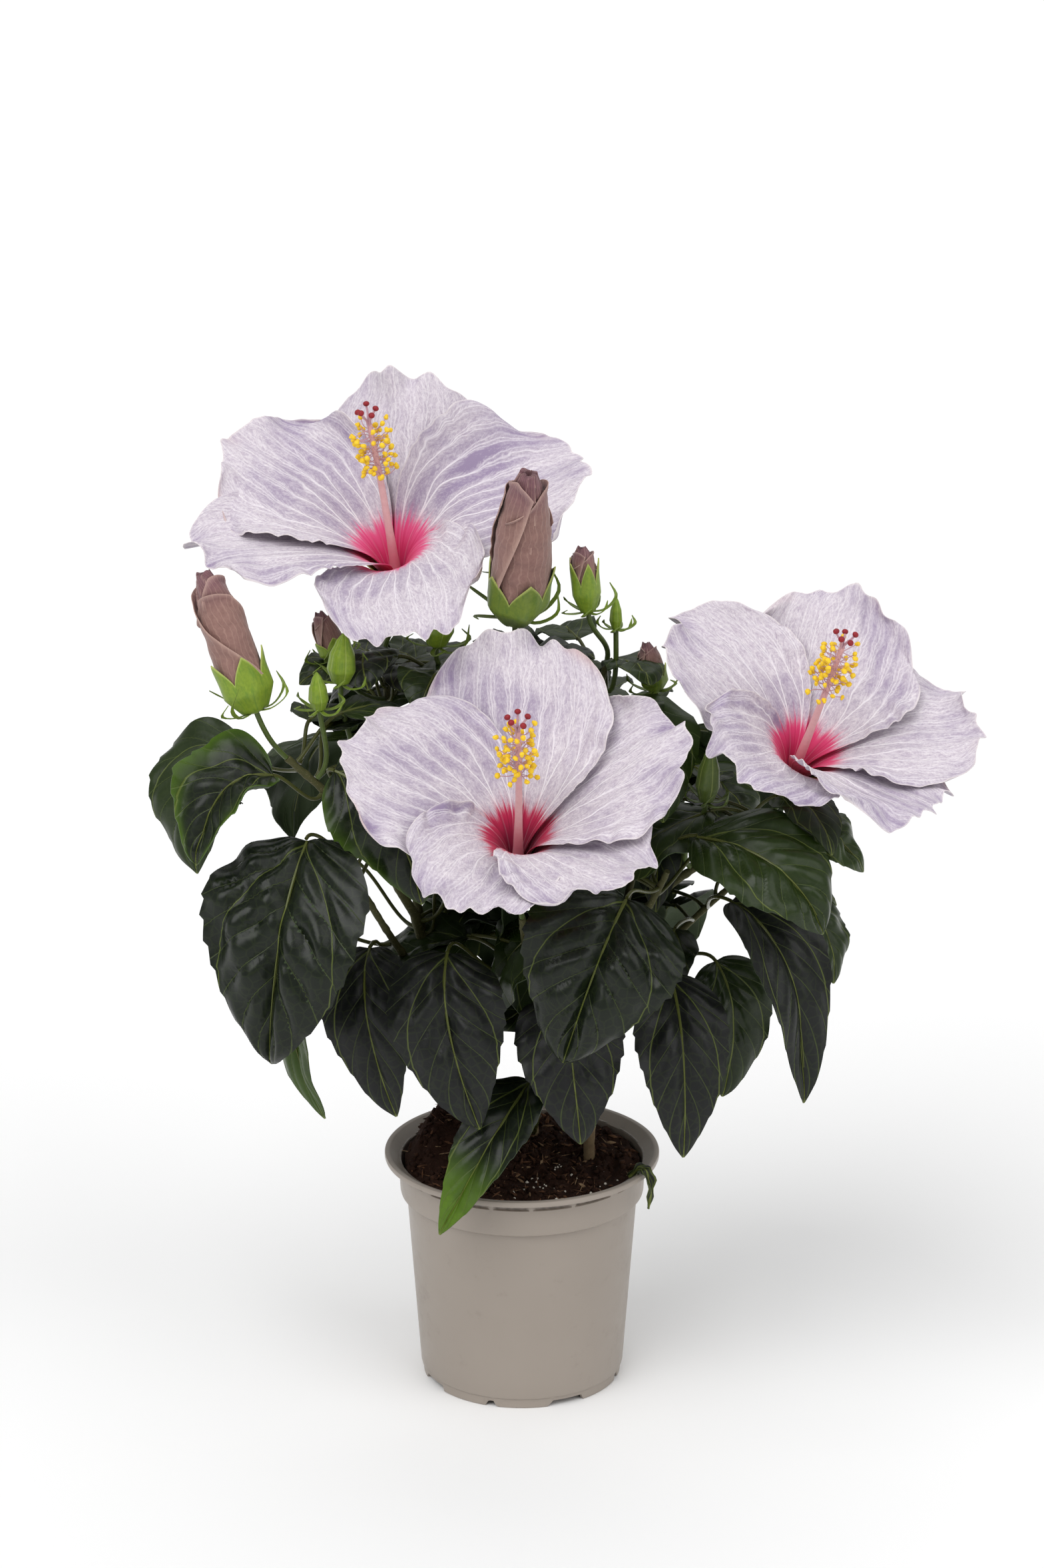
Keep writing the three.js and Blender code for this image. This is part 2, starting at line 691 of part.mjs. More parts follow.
// Furled petals wound round each other, with five soft pleats
function budPetals(name) {
  const spec = buds[name];
  const { length, ring } = budFrame(spec);
  const sides = 10;
  const inner = spec.radius * cupFlare - cupWall - seatGap - 0.1;
  const profile = [
    [3.2 + seatGap, spec.radius * 0.62 - 1.1],
    [0.4 * spec.cup, inner],
    [spec.cup, inner],
    [mix(spec.cup, length, 0.45), inner * 0.9],
    [mix(spec.cup, length, 0.85), inner * 0.56],
    [length, inner * 0.3],
  ];
  const rings = profile.map(([height, radius], row) => {
    const pleat = row < 3 ? 0 : 0.12;
    return ring((k) => radius * (k % 2 ? 1 - pleat : 1), height, sides);
  });
  return named(`${name}_petals`, loft(rings), budBrown);
}

// The leaves that show best. Further leaves grow between and behind these.
const leaves = {
  leaf_left_large: {
    on: 'A3', at: 1, base: [-97, -62, 289], mid: [-112, -104, 262], tip: [-115, -88, 189],
    width: 82, face: [-0.35, -0.75, 0.5], fold: 0.1, droop: 0.1,
  },
  leaf_far_left: {
    on: 'A1', at: 0.9, base: [-128, -20, 312], mid: [-160, -24, 320], tip: [-150, -34, 262],
    width: 58, face: [-0.5, -0.6, 0.6], fold: 0.1, droop: 0.15,
  },
  leaf_left_curled: {
    on: 'A1', at: 0.7, base: [-112, -52, 316], mid: [-140, -66, 326], tip: [-146, -72, 280],
    width: 44, face: [-0.3, -0.5, 0.8], fold: 0.3, droop: 0.1,
  },
  leaf_inner_left: {
    on: 'A1', at: 0.45, base: [-84, -58, 320], mid: [-55, -77, 314], tip: [-45, -75, 262],
    width: 50, face: [-0.2, -0.8, 0.5], fold: 0.15, droop: 0.1,
  },
  leaf_low_left: {
    on: 'A', at: 0.62, base: [-70, -32, 226], mid: [-78, -62, 212], tip: [-58, -58, 152],
    width: 44, face: [-0.3, -0.85, 0.4], fold: 0.15, droop: 0.1,
  },
  leaf_narrow_left: {
    on: 'A3', at: 0.35, base: [-98, -20, 226], mid: [-122, -30, 206], tip: [-92, -45, 146],
    width: 40, face: [-0.8, -0.4, 0.3], fold: 0.2, droop: 0.1,
  },
  leaf_middle_low: {
    on: 'B3', at: 0.55, base: [-34, -52, 231], mid: [-40, -82, 212], tip: [-19, -74, 152],
    width: 54, face: [-0.1, -0.85, 0.5], fold: 0.08, droop: 0.12,
  },
  leaf_over_rim: {
    on: 'B', at: 0.2, base: [4, -36, 162], mid: [-10, -74, 158], tip: [-38, -74, 101],
    width: 34, face: [-0.25, -0.7, 0.65], fold: 0.35, droop: 0.05,
  },
  leaf_front_middle: {
    on: 'C2', at: 0.85, base: [47, -76, 266], mid: [34, -112, 254], tip: [18, -96, 193],
    width: 74, face: [0.1, -0.75, 0.6], fold: 0.08, droop: 0.14,
  },
  leaf_lower_middle: {
    on: 'C', at: 0.6, base: [19, -44, 208], mid: [22, -72, 196], tip: [27, -66, 142],
    width: 50, face: [0, -0.85, 0.4], fold: 0.12, droop: 0.1,
  },
  leaf_low_right: {
    on: 'C2', at: 0.3, base: [68, -42, 216], mid: [76, -76, 198], tip: [74, -72, 138],
    width: 44, face: [0.15, -0.85, 0.4], fold: 0.1, droop: 0.1,
  },
  leaf_right_large: {
    on: 'C1', at: 0.35, base: [79, -48, 286], mid: [120, -80, 292], tip: [137, -80, 250],
    width: 56, face: [0.1, -0.5, 0.85], fold: 0.12, droop: 0.14,
  },
  leaf_right_long: {
    on: 'C3', at: 0.72, base: [96, -30, 248], mid: [130, -58, 240], tip: [130, -57, 159],
    width: 44, face: [0.6, -0.7, 0.4], fold: 0.3, droop: 0.05,
  },
  leaf_right_inner: {
    on: 'C3', at: 0.4, base: [90, -12, 212], mid: [104, -28, 196], tip: [94, -18, 146],
    width: 42, face: [0.3, -0.85, 0.4], fold: 0.1, droop: 0.1,
  },
  leaf_right_small: {
    on: 'C3', at: 0.95, base: [126, 4, 236], mid: [146, -4, 232], tip: [146, -10, 200],
    width: 38, face: [0.6, -0.5, 0.6], fold: 0.1, droop: 0.2,
  },
  leaf_under_flower: {
    on: 'C1', at: 0.88, base: [124, -28, 286], mid: [142, -38, 290], tip: [157, -34, 264],
    width: 36, face: [0.3, -0.4, 0.85], fold: 0.1, droop: 0.2,
  },
  leaf_back_left: {
    on: 'A2', at: 0.6, base: [-76, 40, 306], mid: [-104, 78, 306], tip: [-112, 84, 240],
    width: 66, face: [-0.5, 0.6, 0.6], fold: 0.08, droop: 0.12,
  },
  leaf_back_middle: {
    on: 'B5', at: 0.8, base: [2, 100, 290], mid: [-6, 134, 276], tip: [-8, 122, 208],
    width: 70, face: [0, 0.85, 0.5], fold: 0.08, droop: 0.12,
  },
  leaf_back_right: {
    on: 'C4', at: 0.8, base: [80, 70, 300], mid: [112, 92, 296], tip: [116, 88, 230],
    width: 62, face: [0.5, 0.65, 0.5], fold: 0.08, droop: 0.12,
  },
};

// The whole plant, put together on the pot's axis
const model = new THREE.Group();
model.name = 'potted_hibiscus';
const plant = new THREE.Group();
plant.add(pot());
plant.add(soil(['A', 'B', 'C'].map((id) => branches[id])));
for (const name of Object.keys(cuttings)) {
  plant.add(cutting(name));
}
for (const [name, spec] of Object.entries(leaves)) {
  plant.add(leaf(name, spec));
}
for (const name of Object.keys(flowers)) {
  flowers[name].petals.forEach((unused, number) => plant.add(petal(name, number)));
  plant.add(column(name));
  plant.add(calyx(name));
}
for (const [name, spec] of Object.entries(buds)) {
  plant.add(budCup(name));
  if (spec.cup) {
    plant.add(budPetals(name));
  }
}
const box = new THREE.Box3().setFromObject(plant);
plant.position.set(-(box.min.x + box.max.x) / 2, -(box.min.y + box.max.y) / 2, -box.min.z);
model.add(plant);

export default model;
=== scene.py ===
# Looks of a potted chinese hibiscus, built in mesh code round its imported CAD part.
# Places are in millimetres from the pot's axis at floor level. They are turned into
# metres of the shared frame when a mesh is made.
import math

import bpy
import numpy as np
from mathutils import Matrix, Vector


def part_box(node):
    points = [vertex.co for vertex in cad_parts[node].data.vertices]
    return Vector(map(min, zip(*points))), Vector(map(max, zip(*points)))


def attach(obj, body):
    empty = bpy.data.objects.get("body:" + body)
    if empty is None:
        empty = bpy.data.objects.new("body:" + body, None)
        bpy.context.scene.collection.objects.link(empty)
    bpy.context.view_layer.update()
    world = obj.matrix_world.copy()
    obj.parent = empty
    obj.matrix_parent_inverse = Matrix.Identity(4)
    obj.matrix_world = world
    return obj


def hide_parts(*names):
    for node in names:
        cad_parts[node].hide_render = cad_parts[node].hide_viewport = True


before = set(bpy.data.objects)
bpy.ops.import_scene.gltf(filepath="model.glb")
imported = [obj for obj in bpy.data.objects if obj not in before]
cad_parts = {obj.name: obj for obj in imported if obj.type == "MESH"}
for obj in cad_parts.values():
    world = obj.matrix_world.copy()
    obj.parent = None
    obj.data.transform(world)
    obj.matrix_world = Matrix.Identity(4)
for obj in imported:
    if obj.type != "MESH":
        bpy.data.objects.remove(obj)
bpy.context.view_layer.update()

MM = 0.001
pot_low, pot_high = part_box("pot")
POT_AXIS = np.array([(pot_low.x + pot_high.x) / 2, (pot_low.y + pot_high.y) / 2, 0.0])

# The camera, found from the ellipses of the pot's rims
PHOTO_WIDTH = 1568
PHOTO_HEIGHT = 2355
FOCAL_PIXELS = 7000
CAMERA_DISTANCE = 2151
CAMERA_PITCH = math.radians(18.2)
CAMERA_AIM_HEIGHT = 294.6
SENSOR = 36.0


def make_camera():
    data = bpy.data.cameras.new("camera")
    data.sensor_width = SENSOR
    data.lens = FOCAL_PIXELS / PHOTO_HEIGHT * SENSOR
    data.clip_start = 0.05
    data.clip_end = 60
    camera = bpy.data.objects.new("camera", data)
    bpy.context.scene.collection.objects.link(camera)
    back = np.array([0, -math.cos(CAMERA_PITCH), math.sin(CAMERA_PITCH)]) * CAMERA_DISTANCE
    camera.location = Vector((back + [0, 0, CAMERA_AIM_HEIGHT]) * MM + POT_AXIS)
    camera.rotation_euler = (math.pi / 2 - CAMERA_PITCH, 0, 0)
    bpy.context.scene.camera = camera


make_camera()


def photo_pixels(points):
    ahead = np.array([0, math.cos(CAMERA_PITCH), -math.sin(CAMERA_PITCH)])
    up = np.array([0, math.sin(CAMERA_PITCH), math.cos(CAMERA_PITCH)])
    away = points - (np.array([0, 0, CAMERA_AIM_HEIGHT]) - ahead * CAMERA_DISTANCE)
    depth = away @ ahead
    x = PHOTO_WIDTH / 2 + FOCAL_PIXELS * away[..., 0] / depth
    y = PHOTO_HEIGHT / 2 - FOCAL_PIXELS * (away @ up) / depth
    return np.stack([x, y], -1)


# Number helpers
def mix(a, b, t):
    return a + (b - a) * t


def smooth(t):
    c = np.clip(t, 0, 1)
    return c * c * (3 - 2 * c)


def unit(v):
    v = np.asarray(v, float)
    return v / np.maximum(np.linalg.norm(v, axis=-1, keepdims=True), 1e-9)


def fraction(t):
    return t - np.floor(t)


def around(turn, centre):
    """Degrees between two turns, whichever way round is shorter."""
    return np.abs((turn - centre + 180) % 360 - 180)


def hump(value, centre, spread):
    return np.exp(-((value - centre) / spread) ** 2)


def zigzag(t):
    """Rises from 0 to 1 and falls back again between each two whole numbers."""
    return 1 - np.abs(2 * fraction(t) - 1)


def ripples(seed, places, wave, count=7):
    """A smooth random field from about -1 to 1, with bumps about one wave apart."""
    rng = np.random.default_rng(seed)
    ways = unit(rng.normal(size=(count, places.shape[-1]))) * rng.uniform(0.7, 1.5, (count, 1))
    phases = rng.uniform(0, 2 * math.pi, count)
    return np.sin(places @ ways.T * (2 * math.pi / wave) + phases).mean(-1) * 1.7


# Mesh helpers. A patch is points, faces of three or four corners (the fourth is -1 for
# a triangle), and values at the points that the materials read.
def patch(points, faces, **values):
    points = np.asarray(points, float).reshape(-1, 3)
    filled = {}
    for name, value in values.items():
        value = np.asarray(value, float)
        if value.ndim == 0:
            value = np.full(len(points), float(value))
        filled[name] = value
    return {"points": points, "faces": faces, "values": filled}


def grid_faces(rows, columns, closed=False):
    index = np.arange(rows * columns).reshape(rows, columns)
    if closed:
        index = np.concatenate([index, index[:, :1]], 1)
    corners = [index[:-1, :-1], index[1:, :-1], index[1:, 1:], index[:-1, 1:]]
    return np.stack(corners, -1).reshape(-1, 4)


def grid_normals(points):
    return unit(np.cross(np.gradient(points, axis=0), np.gradient(points, axis=1)))


def sheet(centre, thickness, **values):
    """A thin closed sheet round a grid of points, seen from its upper side."""
    rows, columns = centre.shape[:2]
    half = np.asarray(thickness, float) / 2
    lift = grid_normals(centre) * (half[..., None] if half.ndim else half)
    faces = grid_faces(rows, columns)
    index = np.arange(rows * columns).reshape(rows, columns)
    loop = np.concatenate([index[:, 0], index[-1, 1:], index[-2::-1, -1], index[0, -2:0:-1]])
    ahead = np.roll(loop, -1)
    size = rows * columns
    rim = np.stack([loop, loop + size, ahead + size, ahead], -1)
    points = np.concatenate([(centre + lift).reshape(-1, 3), (centre - lift).reshape(-1, 3)])
    both = {}
    for name, value in values.items():
        value = np.asarray(value, float)
        if value.ndim:
            value = value.reshape(size, -1)
            value = np.concatenate([value, value])
            value = value[:, 0] if value.shape[1] == 1 else value
        both[name] = value
    both["under"] = np.repeat([0.0, 1.0], size)
    return patch(points, np.concatenate([faces, faces[:, ::-1] + size, rim]), **both)


def wrap(rings, **values):
    """A closed skin over rings of points that run round their way counter-clockwise."""
    rows, columns = rings.shape[:2]
    size = rows * columns
    sides = grid_faces(rows, columns, closed=True)[:, ::-1]
    k = np.arange(columns)
    ahead = (k + 1) % columns
    none = np.full(columns, -1)
    start = np.stack([np.full(columns, size), ahead, k, none], -1)
    last = size - columns
    end = np.stack([np.full(columns, size + 1), last + k, last + ahead, none], -1)
    points = np.concatenate([rings.reshape(-1, 3), [rings[0].mean(0)], [rings[-1].mean(0)]])
    full = {}
    for name, value in values.items():
        value = np.asarray(value, float)
        if value.ndim:
            value = np.broadcast_to(value, (rows, columns) + value.shape[2:])
            flat = value.reshape((size,) + value.shape[2:])
            value = np.concatenate([flat, [value[0].mean(0)], [value[-1].mean(0)]])
        full[name] = value
    return patch(points, np.concatenate([sides, start, end]), **full)


def directions(path):
    return unit(np.gradient(path, axis=0))


def route_points(route, t):
    """Points of a centripetal Catmull-Rom curve through the route, for t from 0 to 1."""
    knots = np.array(route, float)
    knots = np.concatenate([[2 * knots[0] - knots[1]], knots, [2 * knots[-1] - knots[-2]]])
    count = len(knots) - 3
    place = np.clip(np.asarray(t, float), 0, 1) * count
    index = np.minimum(place.astype(int), count - 1)
    w = (place - index)[..., None]
    a, b, c, d = (knots[index + k] for k in range(4))
    gap = [np.linalg.norm(q - p, axis=-1, keepdims=True) ** 0.5 for p, q in ((a, b), (b, c), (c, d))]
    start = ((b - a) / gap[0] - (c - a) / (gap[0] + gap[1]) + (c - b) / gap[1]) * gap[1]
    end = ((c - b) / gap[1] - (d - b) / (gap[1] + gap[2]) + (d - c) / gap[2]) * gap[1]
    return (b + start * w + (-3 * b + 3 * c - 2 * start - end) * w ** 2
            + (2 * b - 2 * c + start + end) * w ** 3)


def tube_rings(path, radii, sides):
    along = directions(path)
    across = unit(np.cross(along[0], [0.31, 0.87, 0.38]))
    angle = np.linspace(0, 2 * math.pi, sides, endpoint=False)[:, None]
    rings = []
    for centre, ahead, radius in zip(path, along, np.broadcast_to(radii, len(path))):
        across = unit(across - ahead * (across @ ahead))
        other = np.cross(ahead, across)
        rings.append(centre + radius * (across * np.cos(angle) + other * np.sin(angle)))
    return np.array(rings)


def tube(path, radii, sides, **values):
    return wrap(tube_rings(np.asarray(path, float), radii, sides), **values)


def route_tube(route, steps, radii, sides, **values):
    return tube(route_points(route, np.linspace(0, 1, steps)), radii, sides, **values)


def bead(centre, along, across, size, rows=5, columns=6, **values):
    """A small rounded body, size giving half its length along, across and over."""
    along, across = unit(along), np.asarray(across, float)
    across = unit(across - along * (across @ along))
    over = np.cross(along, across)
    turn = np.linspace(0.25, math.pi - 0.25, rows)[:, None, None]
    angle = np.linspace(0, 2 * math.pi, columns, endpoint=False)[None, :, None]
    rings = (np.asarray(centre, float) - along * size[0] * np.cos(turn)
             + across * size[1] * np.sin(turn) * np.cos(angle)
             + over * size[2] * np.sin(turn) * np.sin(angle))
    return wrap(rings, **values)


def make_piece(name, patches, material, replaced=(), sharp=55):
    """One object of the shared frame from patches in millimetres from the pot's axis."""
    names = {key: value.shape[1:] for p in patches for key, value in p["values"].items()}
    counts = np.cumsum([0] + [len(p["points"]) for p in patches])
    points = np.concatenate([p["points"] for p in patches]) * MM + POT_AXIS
    faces = np.concatenate([
        np.where(p["faces"] < 0, -1, p["faces"] + start) for p, start in zip(patches, counts)
    ])
    corners = faces[faces >= 0]
    totals = (faces >= 0).sum(1)
    mesh = bpy.data.meshes.new(name)
    mesh.vertices.add(len(points))
    mesh.vertices.foreach_set("co", points.ravel())
    mesh.loops.add(len(corners))
    mesh.loops.foreach_set("vertex_index", corners.astype(np.int32))
    mesh.polygons.add(len(faces))
    starts = np.concatenate([[0], np.cumsum(totals)[:-1]])
    mesh.polygons.foreach_set("loop_start", starts.astype(np.int32))
    mesh.update(calc_edges=True)
    mesh.validate()
    for key, shape in names.items():
        kind, field = ("FLOAT_VECTOR", "vector") if shape else ("FLOAT", "value")
        joined = [p["values"].get(key, np.zeros((len(p["points"]),) + shape)) for p in patches]
        attribute = mesh.attributes.new(key, kind, "POINT")
        attribute.data.foreach_set(field, np.concatenate(joined).astype(np.float32).ravel())
    mesh.shade_smooth()
    if sharp:
        mesh.set_sharp_from_angle(angle=math.radians(sharp))
    mesh.materials.append(material)
    piece = bpy.data.objects.new(name, mesh)
    bpy.context.scene.collection.objects.link(piece)
    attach(piece, "root")
    if replaced:
        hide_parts(*replaced)
    return piece


# Material helpers
def colour(text):
    parts = [int(text[i:i + 2], 16) / 255 for i in (1, 3, 5)]
    linear = [p / 12.92 if p <= 0.04045 else ((p + 0.055) / 1.055) ** 2.4 for p in parts]
    return (*linear, 1.0)


class Shader:
    """A material whose nodes are written as calls. A value is a number, colour or socket."""

    def __init__(self, name):
        self.material = bpy.data.materials.new(name)
        self.material.use_nodes = True
        self.tree = self.material.node_tree
        self.surface = self.tree.nodes["Principled BSDF"]

    def put(self, socket, value):
        if isinstance(value, bpy.types.NodeSocket):
            self.tree.links.new(value, socket)
        else:
            socket.default_value = colour(value) if isinstance(value, str) else value

    def node(self, kind, **settings):
        made = self.tree.nodes.new(kind)
        for key, value in settings.items():
            setattr(made, key, value)
        return made

    def read(self, name):
        return self.node("ShaderNodeAttribute", attribute_name=name).outputs["Fac"]

    def read_parts(self, name):
        vector = self.node("ShaderNodeAttribute", attribute_name=name).outputs["Vector"]
        split = self.node("ShaderNodeSeparateXYZ")
        self.put(split.inputs[0], vector)
        return split.outputs

    def calc(self, operation, a, b=0.0):
        made = self.node("ShaderNodeMath", operation=operation)
        self.put(made.inputs[0], a)
        self.put(made.inputs[1], b)
        return made.outputs[0]

    def times(self, first, *others):
        for other in others:
            first = self.calc("MULTIPLY", first, other)
        return first

    def plus(self, first, *others):
        for other in others:
            first = self.calc("ADD", first, other)
        return first

    def less(self, a, b):
        return self.calc("SUBTRACT", a, b)

    def absolute(self, a):
        return self.calc("ABSOLUTE", a)

    def step(self, value, low, high, start=0.0, end=1.0):
        """Eases from start to end while value goes from low to high."""
        made = self.node("ShaderNodeMapRange", interpolation_type="SMOOTHSTEP")
        for socket, given in zip(made.inputs, (value, low, high, start, end)):
            self.put(socket, given)
        return made.outputs[0]

    def vector(self, x, y, z=0.0):
        made = self.node("ShaderNodeCombineXYZ")
        for socket, value in zip(made.inputs, (x, y, z)):
            self.put(socket, value)
        return made.outputs[0]

    def place(self):
        return self.node("ShaderNodeTexCoord").outputs["Object"]

    def noise(self, scale, detail=3.0, roughness=0.55, at=None):
        made = self.node("ShaderNodeTexNoise")
        self.put(made.inputs["Vector"], self.place() if at is None else at)
        made.inputs["Scale"].default_value = scale
        made.inputs["Detail"].default_value = detail
        made.inputs["Roughness"].default_value = roughness
        return made.outputs["Fac"]

    def cells(self, scale, feature="F1", at=None):
        made = self.node("ShaderNodeTexVoronoi", feature=feature)
        self.put(made.inputs["Vector"], self.place() if at is None else at)
        made.inputs["Scale"].default_value = scale
        return made.outputs["Distance"]

    def blend(self, amount, a, b):
        made = self.node("ShaderNodeMix", data_type="RGBA")
        self.put(made.inputs[0], amount)
        self.put(made.inputs[6], a)
        self.put(made.inputs[7], b)
        return made.outputs[2]

    def layers(self, base, *coats):
        """The base with coats laid over it in turn, each an amount and a colour."""
        for amount, tint in coats:
            base = self.blend(amount, base, tint)
        return base

    def bump(self, height, strength, distance):
        made = self.node("ShaderNodeBump")
        made.inputs["Strength"].default_value = strength
        made.inputs["Distance"].default_value = distance * MM
        self.put(made.inputs["Height"], height)
        self.put(self.surface.inputs["Normal"], made.outputs[0])

    def finish(self, base, roughness, specular=0.5, sheen=0.0, coat=0.0):
        self.put(self.surface.inputs["Base Color"], base)
        self.put(self.surface.inputs["Roughness"], roughness)
        self.surface.inputs["Specular IOR Level"].default_value = specular
        self.surface.inputs["Sheen Weight"].default_value = sheen
        self.surface.inputs["Coat Weight"].default_value = coat
        return self.material


def line_mask(s, distance, width, soft):
    """One within the width of a line, easing to nought over the soft band beside it."""
    return s.step(distance, width, width + soft, 1.0, 0.0)


def off_line(s, value):
    """How far a value is from the nearest line at a half, from 0 to 0.5."""
    return s.absolute(s.less(s.calc("FRACT", value), 0.5))


def pot_material():
    s = Shader("pot_plastic")
    scuff = s.noise(70, 5, 0.7)
    base = s.layers(
        s.blend(s.noise(14, 3), "#958b81", "#9f958b"),
        (s.times(s.step(scuff, 0.58, 0.72), 0.35), "#867d75"),
        # Painted shade: darker in the slots of the collar and on the inside of the pot
        (s.times(s.read("dark"), 0.9), "#5c544d"),
    )
    s.bump(s.noise(900, 2), 0.12, 0.08)
    return s.finish(base, s.step(scuff, 0.3, 0.8, 0.33, 0.50), 0.45)


def compost_material():
    s = Shader("compost")
    clump = s.noise(160, 5, 0.7)
    fine = s.noise(900, 4, 0.7)
    tone = s.read("tone")
    base = s.layers(
        s.blend(clump, "#180d09", "#3f271c"),
        (s.step(fine, 0.58, 0.75), "#5f4232"),
        (s.step(tone, 0.2, 0.5), "#6a4a35"),
        (s.step(tone, 0.6, 0.8), "#a58a6b"),
        (s.step(tone, 0.9, 0.96), "#e4ddd0"),
    )
    s.bump(s.plus(s.times(clump, 0.6), fine), 0.7, 0.8)
    return s.finish(base, 0.95, 0.2)


def bark_material():
    s = Shader("bark")
    grain = s.noise(300, 4, 0.65)
    ridge = s.noise(1400, 3)
    base = s.layers(
        s.blend(grain, "#6b573f", "#a08a68"),
        (s.step(s.read("height"), 150, 230), s.blend(grain, "#3c3f22", "#5d5a33")),
        (s.times(s.step(ridge, 0.6, 0.75), 0.5), "#c2b08c"),
    )
    s.bump(s.plus(grain, s.times(ridge, 0.5)), 0.5, 0.4)
    return s.finish(base, 0.7, 0.35)


# The veins of a leaf, which its mesh and its material share: how many side veins leave
# the midrib, how far they run towards the tip and how they bend, and the same for the
# pair of palm veins from the foot of the blade
VEIN_COUNT = 6.5
VEIN_SPREAD = 0.42
VEIN_CURVE = 0.85
VEIN_EASE = 0.35
VEIN_OFFSET = 0.35
PALM_SPREAD = 1.25
PALM_CURVE = 0.8


def vein_distance(s, across, along, half):
    """Millimetres to the nearest side vein of a leaf, by the lines that leave its midrib."""
    out = s.calc("POWER", s.absolute(across), VEIN_CURVE)
    run = s.less(VEIN_SPREAD, s.times(along, VEIN_EASE * VEIN_SPREAD))
    start = s.less(along, s.times(out, run))
    beside = off_line(s, s.plus(s.times(start, VEIN_COUNT), 10 + VEIN_OFFSET))
    return s.times(beside, half, 2.4 / VEIN_COUNT)


def leaf_material():
    s = Shader("leaf_green")
    across, along, half = s.read_parts("grain")
    grey, under = s.read("grey"), s.read("under")
    cloud = s.noise(45, 4, 0.6)
    midrib = line_mask(s, s.times(s.absolute(across), half), 0.15, 0.40)
    palm = s.less(s.absolute(across), s.times(s.calc("POWER", along, PALM_CURVE), PALM_SPREAD))
    palm = line_mask(s, s.times(s.absolute(palm), half, 0.85), 0.08, 0.36)
    sides = line_mask(s, vein_distance(s, across, along, half), 0.05, 0.26)
    net = line_mask(s, s.cells(210, "DISTANCE_TO_EDGE"), 0.02, 0.09)
    base = s.layers(
        s.blend(cloud, "#080d06", "#162010"),
        (grey, s.blend(cloud, "#0a0b0b", "#171919")),
        (s.read("lime"), s.blend(cloud, "#34520f", "#77a01e")),
        (s.times(net, 0.13), "#3a4620"),
        (s.times(sides, 0.36), "#5a6830"),
        (s.times(palm, 0.50), "#6c7836"),
        (s.times(midrib, 0.62), "#7b8440"),
        (s.times(s.read("stalk"), 0.85), "#3f4020"),
        (s.times(under, 0.8), s.blend(cloud, "#2c3a22", "#435233")),
    )
    rough = s.plus(s.step(cloud, 0.3, 0.7, 0.22, 0.36), s.times(under, 0.25), s.times(grey, 0.14))
    grooves = s.plus(s.times(sides, 0.5), s.times(midrib, 0.8), s.times(palm, 0.6))
    height = s.less(s.times(s.cells(210), 0.5), grooves)
    s.bump(s.plus(height, s.times(s.noise(700, 3), 0.12)), 0.45, 0.5)
    return s.finish(base, rough, 0.28)


def petal_material(name, throat, deep, reach_end):
    """A petal's skin. The throat's colours end reach_end millimetres along the petal."""
    s = Shader(name)
    across, along, half = s.read_parts("grain")
    wobble = s.plus(s.times(s.less(s.noise(48, 2), 0.5), 0.16),
                    s.times(s.less(s.noise(190, 2), 0.5), 0.014))
    line = s.plus(across, s.times(wobble, s.step(along, 0.1, 0.6)), 10.0)
    # Veins that fork three times on their way out
    count = 3.1
    fork = off_line(s, s.times(line, count))
    beside = []
    for start, end, apart in ((0.24, 0.62, 0.27), (0.45, 0.85, 0.13), (0.62, 1.05, 0.06)):
        fork = s.absolute(s.less(fork, s.step(along, start, end, 0.0, apart)))
        beside.append(s.times(fork, half, 1 / count))
    main = line_mask(s, beside[0], 0.05, 0.42)
    halo = line_mask(s, beside[0], 0.4, 2.6)
    second = line_mask(s, beside[1], 0.04, 0.36)
    third = line_mask(s, beside[2], 0.0, 0.26)
    # Fibres along the petal, feathers beside the veins, and wool
    fibre = s.noise(1, 5, 0.7, s.vector(s.times(line, 34), s.times(along, 20)))
    slant = s.less(s.times(along, 85), s.times(beside[0], 2.2))
    feather = s.noise(1, 4, 0.7, s.vector(s.times(line, 12), slant))
    wool = s.noise(800, 4, 0.7)
    weave = s.plus(s.times(fibre, 0.34), s.times(feather, 0.36), s.times(wool, 0.30))
    # Mauve mottling at random, with painted shade from the shade values in creases and under overlapping
    # edges
    mottle_and_painted_shade = s.plus(s.read("shade"), s.times(s.step(s.noise(27, 3), 0.45, 0.64), 0.78))
    mottle_and_painted_shade = s.times(mottle_and_painted_shade, s.step(weave, 0.38, 0.62, 1.0, 0.55), s.step(halo, 0.0, 1.0, 1.0, 0.55))
    # The throat, with a frayed edge
    fringe = s.noise(1, 4, 0.6, s.vector(s.times(line, 22), s.times(along, 1.5)))
    edge = s.less(s.read("reach"), s.times(s.less(fringe, 0.5), 24))
    red = s.blend(s.step(edge, reach_end * 0.45, reach_end * 0.95, 1.0, 0.0), throat, deep)
    red = s.blend(s.times(main, 0.12), red, "#ffc7da")
    base = s.layers(
        s.blend(s.step(weave, 0.38, 0.62), "#b3a6b6", "#e1dadf"),
        (mottle_and_painted_shade, "#9585a2"),
        (s.times(third, 0.14), "#f1ebf2"),
        (s.times(second, 0.26), "#f3edf3"),
        (s.times(main, s.step(along, 0.1, 0.95, 0.80, 0.34)), "#f8f3f7"),
        (s.times(s.read("rim"), 0.55), "#f0e8e4"),
        (s.times(s.read("warm"), 0.6), "#c79f98"),
        (s.times(s.step(edge, reach_end - 2, reach_end + 7, 1.0, 0.0), 0.25), throat),
        (s.step(edge, reach_end - 4, reach_end + 2, 1.0, 0.0), red),
    )
    raised = s.plus(s.times(main, 0.9), s.times(second, 0.5), s.times(third, 0.25))
    s.bump(s.plus(raised, s.times(weave, 1.1)), 0.40, 0.35)
    return s.finish(base, 0.62, 0.3, sheen=0.15)


